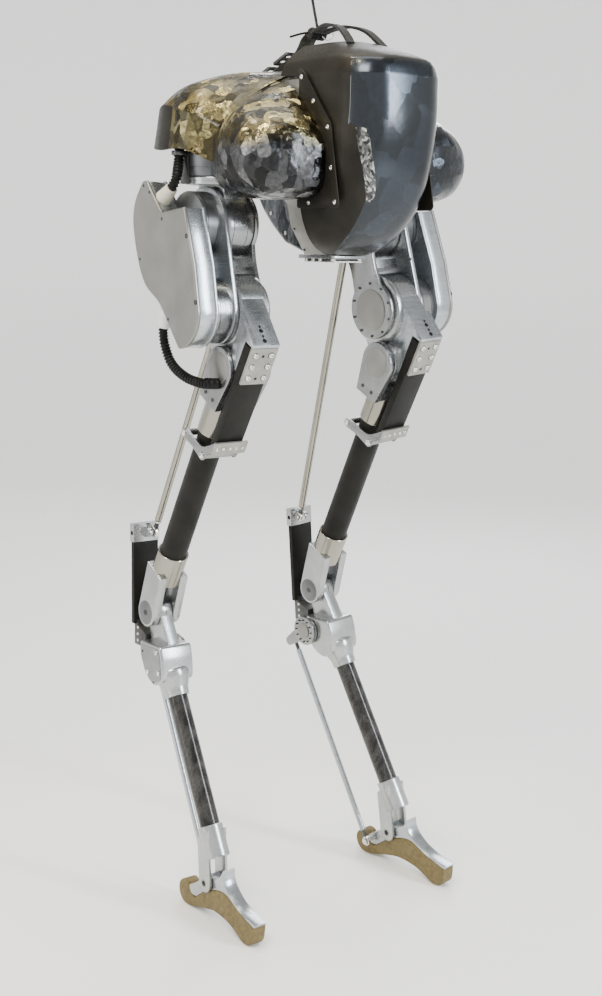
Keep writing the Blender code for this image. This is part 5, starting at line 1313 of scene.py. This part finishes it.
def heel_spring(leg):
    shift = leg.tarsus - Vector((-0.1583, -0.5787))

    def box(rear, front, low, high):
        corners = ((rear, low), (front, low), (front, high), (rear, high))
        return [(x + shift[0], z + shift[1]) for x, z in corners]

    rear, front = -0.2065, -0.1985
    foot = [(x + shift[0], z + shift[1]) for x, z in (
        (rear - 0.0005, -0.640), (-0.1722, -0.640), (-0.1738, -0.618), (front + 0.0005, -0.608),
        (front + 0.0005, -0.600), (rear - 0.0005, -0.600))]
    tip = leg.spring_tip
    near = [tuple(tip + Vector(p)) for p in ((-0.0050, 0.006), (-0.0050, -0.006))]
    back = [(-0.200 + shift[0], z + shift[1]) for z in (-0.455, -0.472)]
    parts = [(plate(box(rear, front, -0.606, -0.468), -0.0215, 0.0215, SIDE_VIEW, 0.0006), "matte_composite"),
             (plate(foot, -0.0160, 0.0160, SIDE_VIEW, 0.0008), "dark_metal"),
             (plate(box(rear - 0.003, front + 0.0005, -0.478, -0.450), -0.0225, 0.0225, SIDE_VIEW, 0.0010),
              "cast_aluminium"),
             (plate(hull(circle(tip, 0.0065, 28) + near + back), -0.0036, 0.0036), "cast_aluminium"),
             (leg.disc(tip, 0.003, -0.0160, -0.003, 0.0005, steps=20), "polished_steel")]
    clamp_back = rear - 0.003 + shift[0]
    for z in (-0.4725, -0.4555):
        for out in (-0.015, 0.015):
            parts.append((bolt((out, -clamp_back - 0.0002, z + shift[1]), (0, 1, 0), 0.0028, 0.0018),
                          "polished_steel"))
    for s in (1, -1):
        spot = (-0.2025 + shift[0], -0.464 + shift[1])
        parts.append((leg.screw(spot, s * 0.0224, 0.0034, 0.0005, s), "black_screw"))
    for z in (-0.612, -0.622, -0.632):
        for s in (1, -1):
            parts.append((leg.screw((-0.196 + shift[0], z + shift[1]), s * 0.0158, 0.0022, 0.0012, s),
                          "polished_steel"))
    leg.piece("heel_spring", parts, "matte_composite", "tarsus")


def tarsus_tube(leg):
    a, b = (Vector(leg.tarsal(along, TUBE_BACK)) for along in (0.115, 0.352))
    leg.piece("tarsus_tube", [(leg.turned(hollow(0.015, 0.013, (b - a).length), a, b), "marbled_carbon")],
              "forged_carbon", "tarsus")


def ankle_fork(leg):
    a, b = (Vector(leg.tarsal(along, TUBE_BACK)) for along in (0.330, 0.378))
    slot = leg.disc(leg.ankle, 0.0555, -0.0113, 0.0113, 0.0004, steps=64)
    sleeve = cut(leg.turned(socket_profile(0.0185, 0.0153, (b - a).length, 0.0223), a, b), slot)
    lug = hull(circle(leg.ankle, 0.0145, 36) + [leg.tarsal(0.338, 0.0060), leg.tarsal(0.342, -0.0268)])
    parts = [(sleeve, "cast_aluminium")]
    for s in (1, -1):
        ends = sorted((s * 0.0115, s * 0.0172))
        parts.append((plate(lug, *ends, SIDE_VIEW, 0.0020), "cast_aluminium"))
        parts.append((leg.disc(leg.ankle, 0.0062, *sorted((s * 0.0168, s * 0.0175)), 0.0002,
                               0.0044, steps=28),
                      "satin_aluminium"))
        # Painted shade: a dark disc in the axle's bore.
        parts.append((shade_disc((s * 0.0171, -leg.ankle.x, leg.ankle.y), (s, 0, 0), 0.0042), "black_screw"))
    leg.piece("ankle_fork", parts, "cast_aluminium", "tarsus")


def foot_crank(leg):
    lever = hull(circle(leg.crank, 0.014, 36) + circle(leg.crank_pin, 0.0075, 28))
    parts = [(leg.disc(leg.crank, 0.024, -0.0375, -0.0293, 0.0008, 0.0, (-0.034,), 56), "satin_aluminium"),
             (leg.disc(leg.crank, 0.013, -0.0395, -0.0370, 0.0006), "satin_cover"),
             (plate(lever, -0.0345, -0.0295, SIDE_VIEW, 0.0008), "satin_aluminium"),
             (leg.disc(leg.crank_pin, 0.003, -0.0300, -0.0170, 0.0005, steps=20), "polished_steel")]
    parts += rim_bolts(leg, leg.crank, 0.0185, 12, -0.0374, 0.0013, -1.0, "black_screw")
    leg.piece("foot_crank", parts, "satin_aluminium", "foot_drive")


def plantar_rod(leg):
    out = -0.0215
    step = (leg.foot_pin - leg.crank_pin).normalized()
    parts = []
    for centre in (leg.crank_pin, leg.foot_pin):
        parts += rod_end(leg, centre, 0.0075, 0.0036, out - 0.004, out + 0.004)
    a, b = leg.crank_pin + step * 0.0060, leg.foot_pin - step * 0.0060
    parts += [(leg.bar(0.0045, (out, a + step * 0.012), (out, b - step * 0.012), 28, None, 0.001), "milled"),
              (leg.bar(0.0030, (out, a), (out, a + step * 0.014), 20), "dark_metal"),
              (leg.bar(0.0030, (out, b - step * 0.014), (out, b), 20), "dark_metal")]
    leg.piece("plantar_rod", parts, "satin_aluminium", "plantar")


BLADE_TOP = ((0.041, 0.033), (0.045, 0.014), (0.064, -0.003), (0.088, -0.0135), (0.125, -0.018))
BLADE_BOTTOM = ((0.1215, -0.0233), (0.103, -0.0187), (0.069, -0.0077), (0.043, 0.0003), (0.005, -0.0098),
                (-0.020, -0.0262), (-0.031, -0.0345))
BLADE_TAIL = ((-0.0425, -0.0360), (-0.0490, -0.0331), (-0.0510, -0.0275), (-0.0485, -0.0215),
              (-0.0400, -0.0180), (-0.0130, 0.0020), (-0.0085, 0.0070), (-0.0020, 0.0112), (0.0120, 0.0110),
              (0.0330, 0.0200))
SOLE_SIDE = (
    (-0.060, -0.0570), (-0.045, -0.0558), (-0.020, -0.0480), (0.018, -0.0390), (0.053, -0.0412),
    (0.075, -0.0482), (0.090, -0.0550), (0.100, -0.0570), (0.110, -0.0543), (0.1173, -0.0470),
    (0.1200, -0.0370), (0.1215, -0.0238), (0.103, -0.0191), (0.069, -0.0081), (0.043, -0.0001),
    (0.005, -0.0102), (-0.020, -0.0267), (-0.0312, -0.0352), (-0.0370, -0.0380),
    (-0.0425, -0.0367), (-0.0497, -0.0336), (-0.0518, -0.0275), (-0.0545, -0.0215),
    (-0.064, -0.0190), (-0.0725, -0.0225), (-0.0785, -0.0295), (-0.080, -0.0370),
    (-0.0785, -0.0447), (-0.0741, -0.0511), (-0.0677, -0.0555))


def foot_outline(leg, points):
    turn = Matrix.Rotation(leg.foot_turn, 2)
    return [tuple(leg.ankle + turn @ Vector(p)) for p in points]


def foot_blade(leg):
    outline = smooth(BLADE_TOP, 5, False) + smooth(BLADE_BOTTOM, 4, False) + smooth(BLADE_TAIL, 4, False)
    spot = foot_outline(leg, [(0.0, 0.0)])[0]
    parts = [(plate(foot_outline(leg, outline), -0.0105, 0.0105, SIDE_VIEW, 0.0007), "milled"),
             (leg.disc(leg.foot_pin, 0.003, -0.0265, -0.0100, 0.0005, steps=20), "polished_steel"),
             (leg.disc(leg.foot_pin, 0.0056, -0.0275, -0.0258, 0.0006, steps=6), "polished_steel"),
             (leg.disc(spot, 0.0036, -0.0150, 0.0150, 0.0005, steps=24), "polished_steel")]
    leg.piece("foot_blade", parts, "satin_aluminium", "foot")


def foot_sole(leg):
    outline = smooth(SOLE_SIDE[:11], 3, False)[:-1] + smooth(SOLE_SIDE[11:18], 3, False)[:-1]
    outline += smooth(SOLE_SIDE[17:], 3, False)
    parts = [(plate(foot_outline(leg, outline), -0.0112, 0.0112, SIDE_VIEW, 0.0022, steps=4), "olive_rubber")]
    leg.piece("foot_sole", parts, "olive_rubber", "foot")


TORSO_PIECES = (tether, torso_front_shell, pelvis_frame, torso_rear_shell, underside_bracket, lifting_strap,
                strap_buckle)
LEG_PIECES = (
    roll_cover, hip_shell, hip_roll_frame, hip_yaw_hanger, thigh_cover, thigh_frame, thigh_inner_cover,
    hose_boot, hose_upper, hose_lower, knee_arm, leaf_spring, leaf_clamp, leaf_link, shin_tube,
    shin_top_fitting, shin_fork, achilles_rod, tarsus_body, heel_spring, tarsus_tube, ankle_fork, foot_crank,
    plantar_rod, foot_blade, foot_sole)

make_camera()
materials = make_materials()
for make in TORSO_PIECES:
    make()
for side in SIDES:
    one_leg = Leg(side)
    for make in LEG_PIECES:
        make(one_leg)
make_lights()
make_floor()
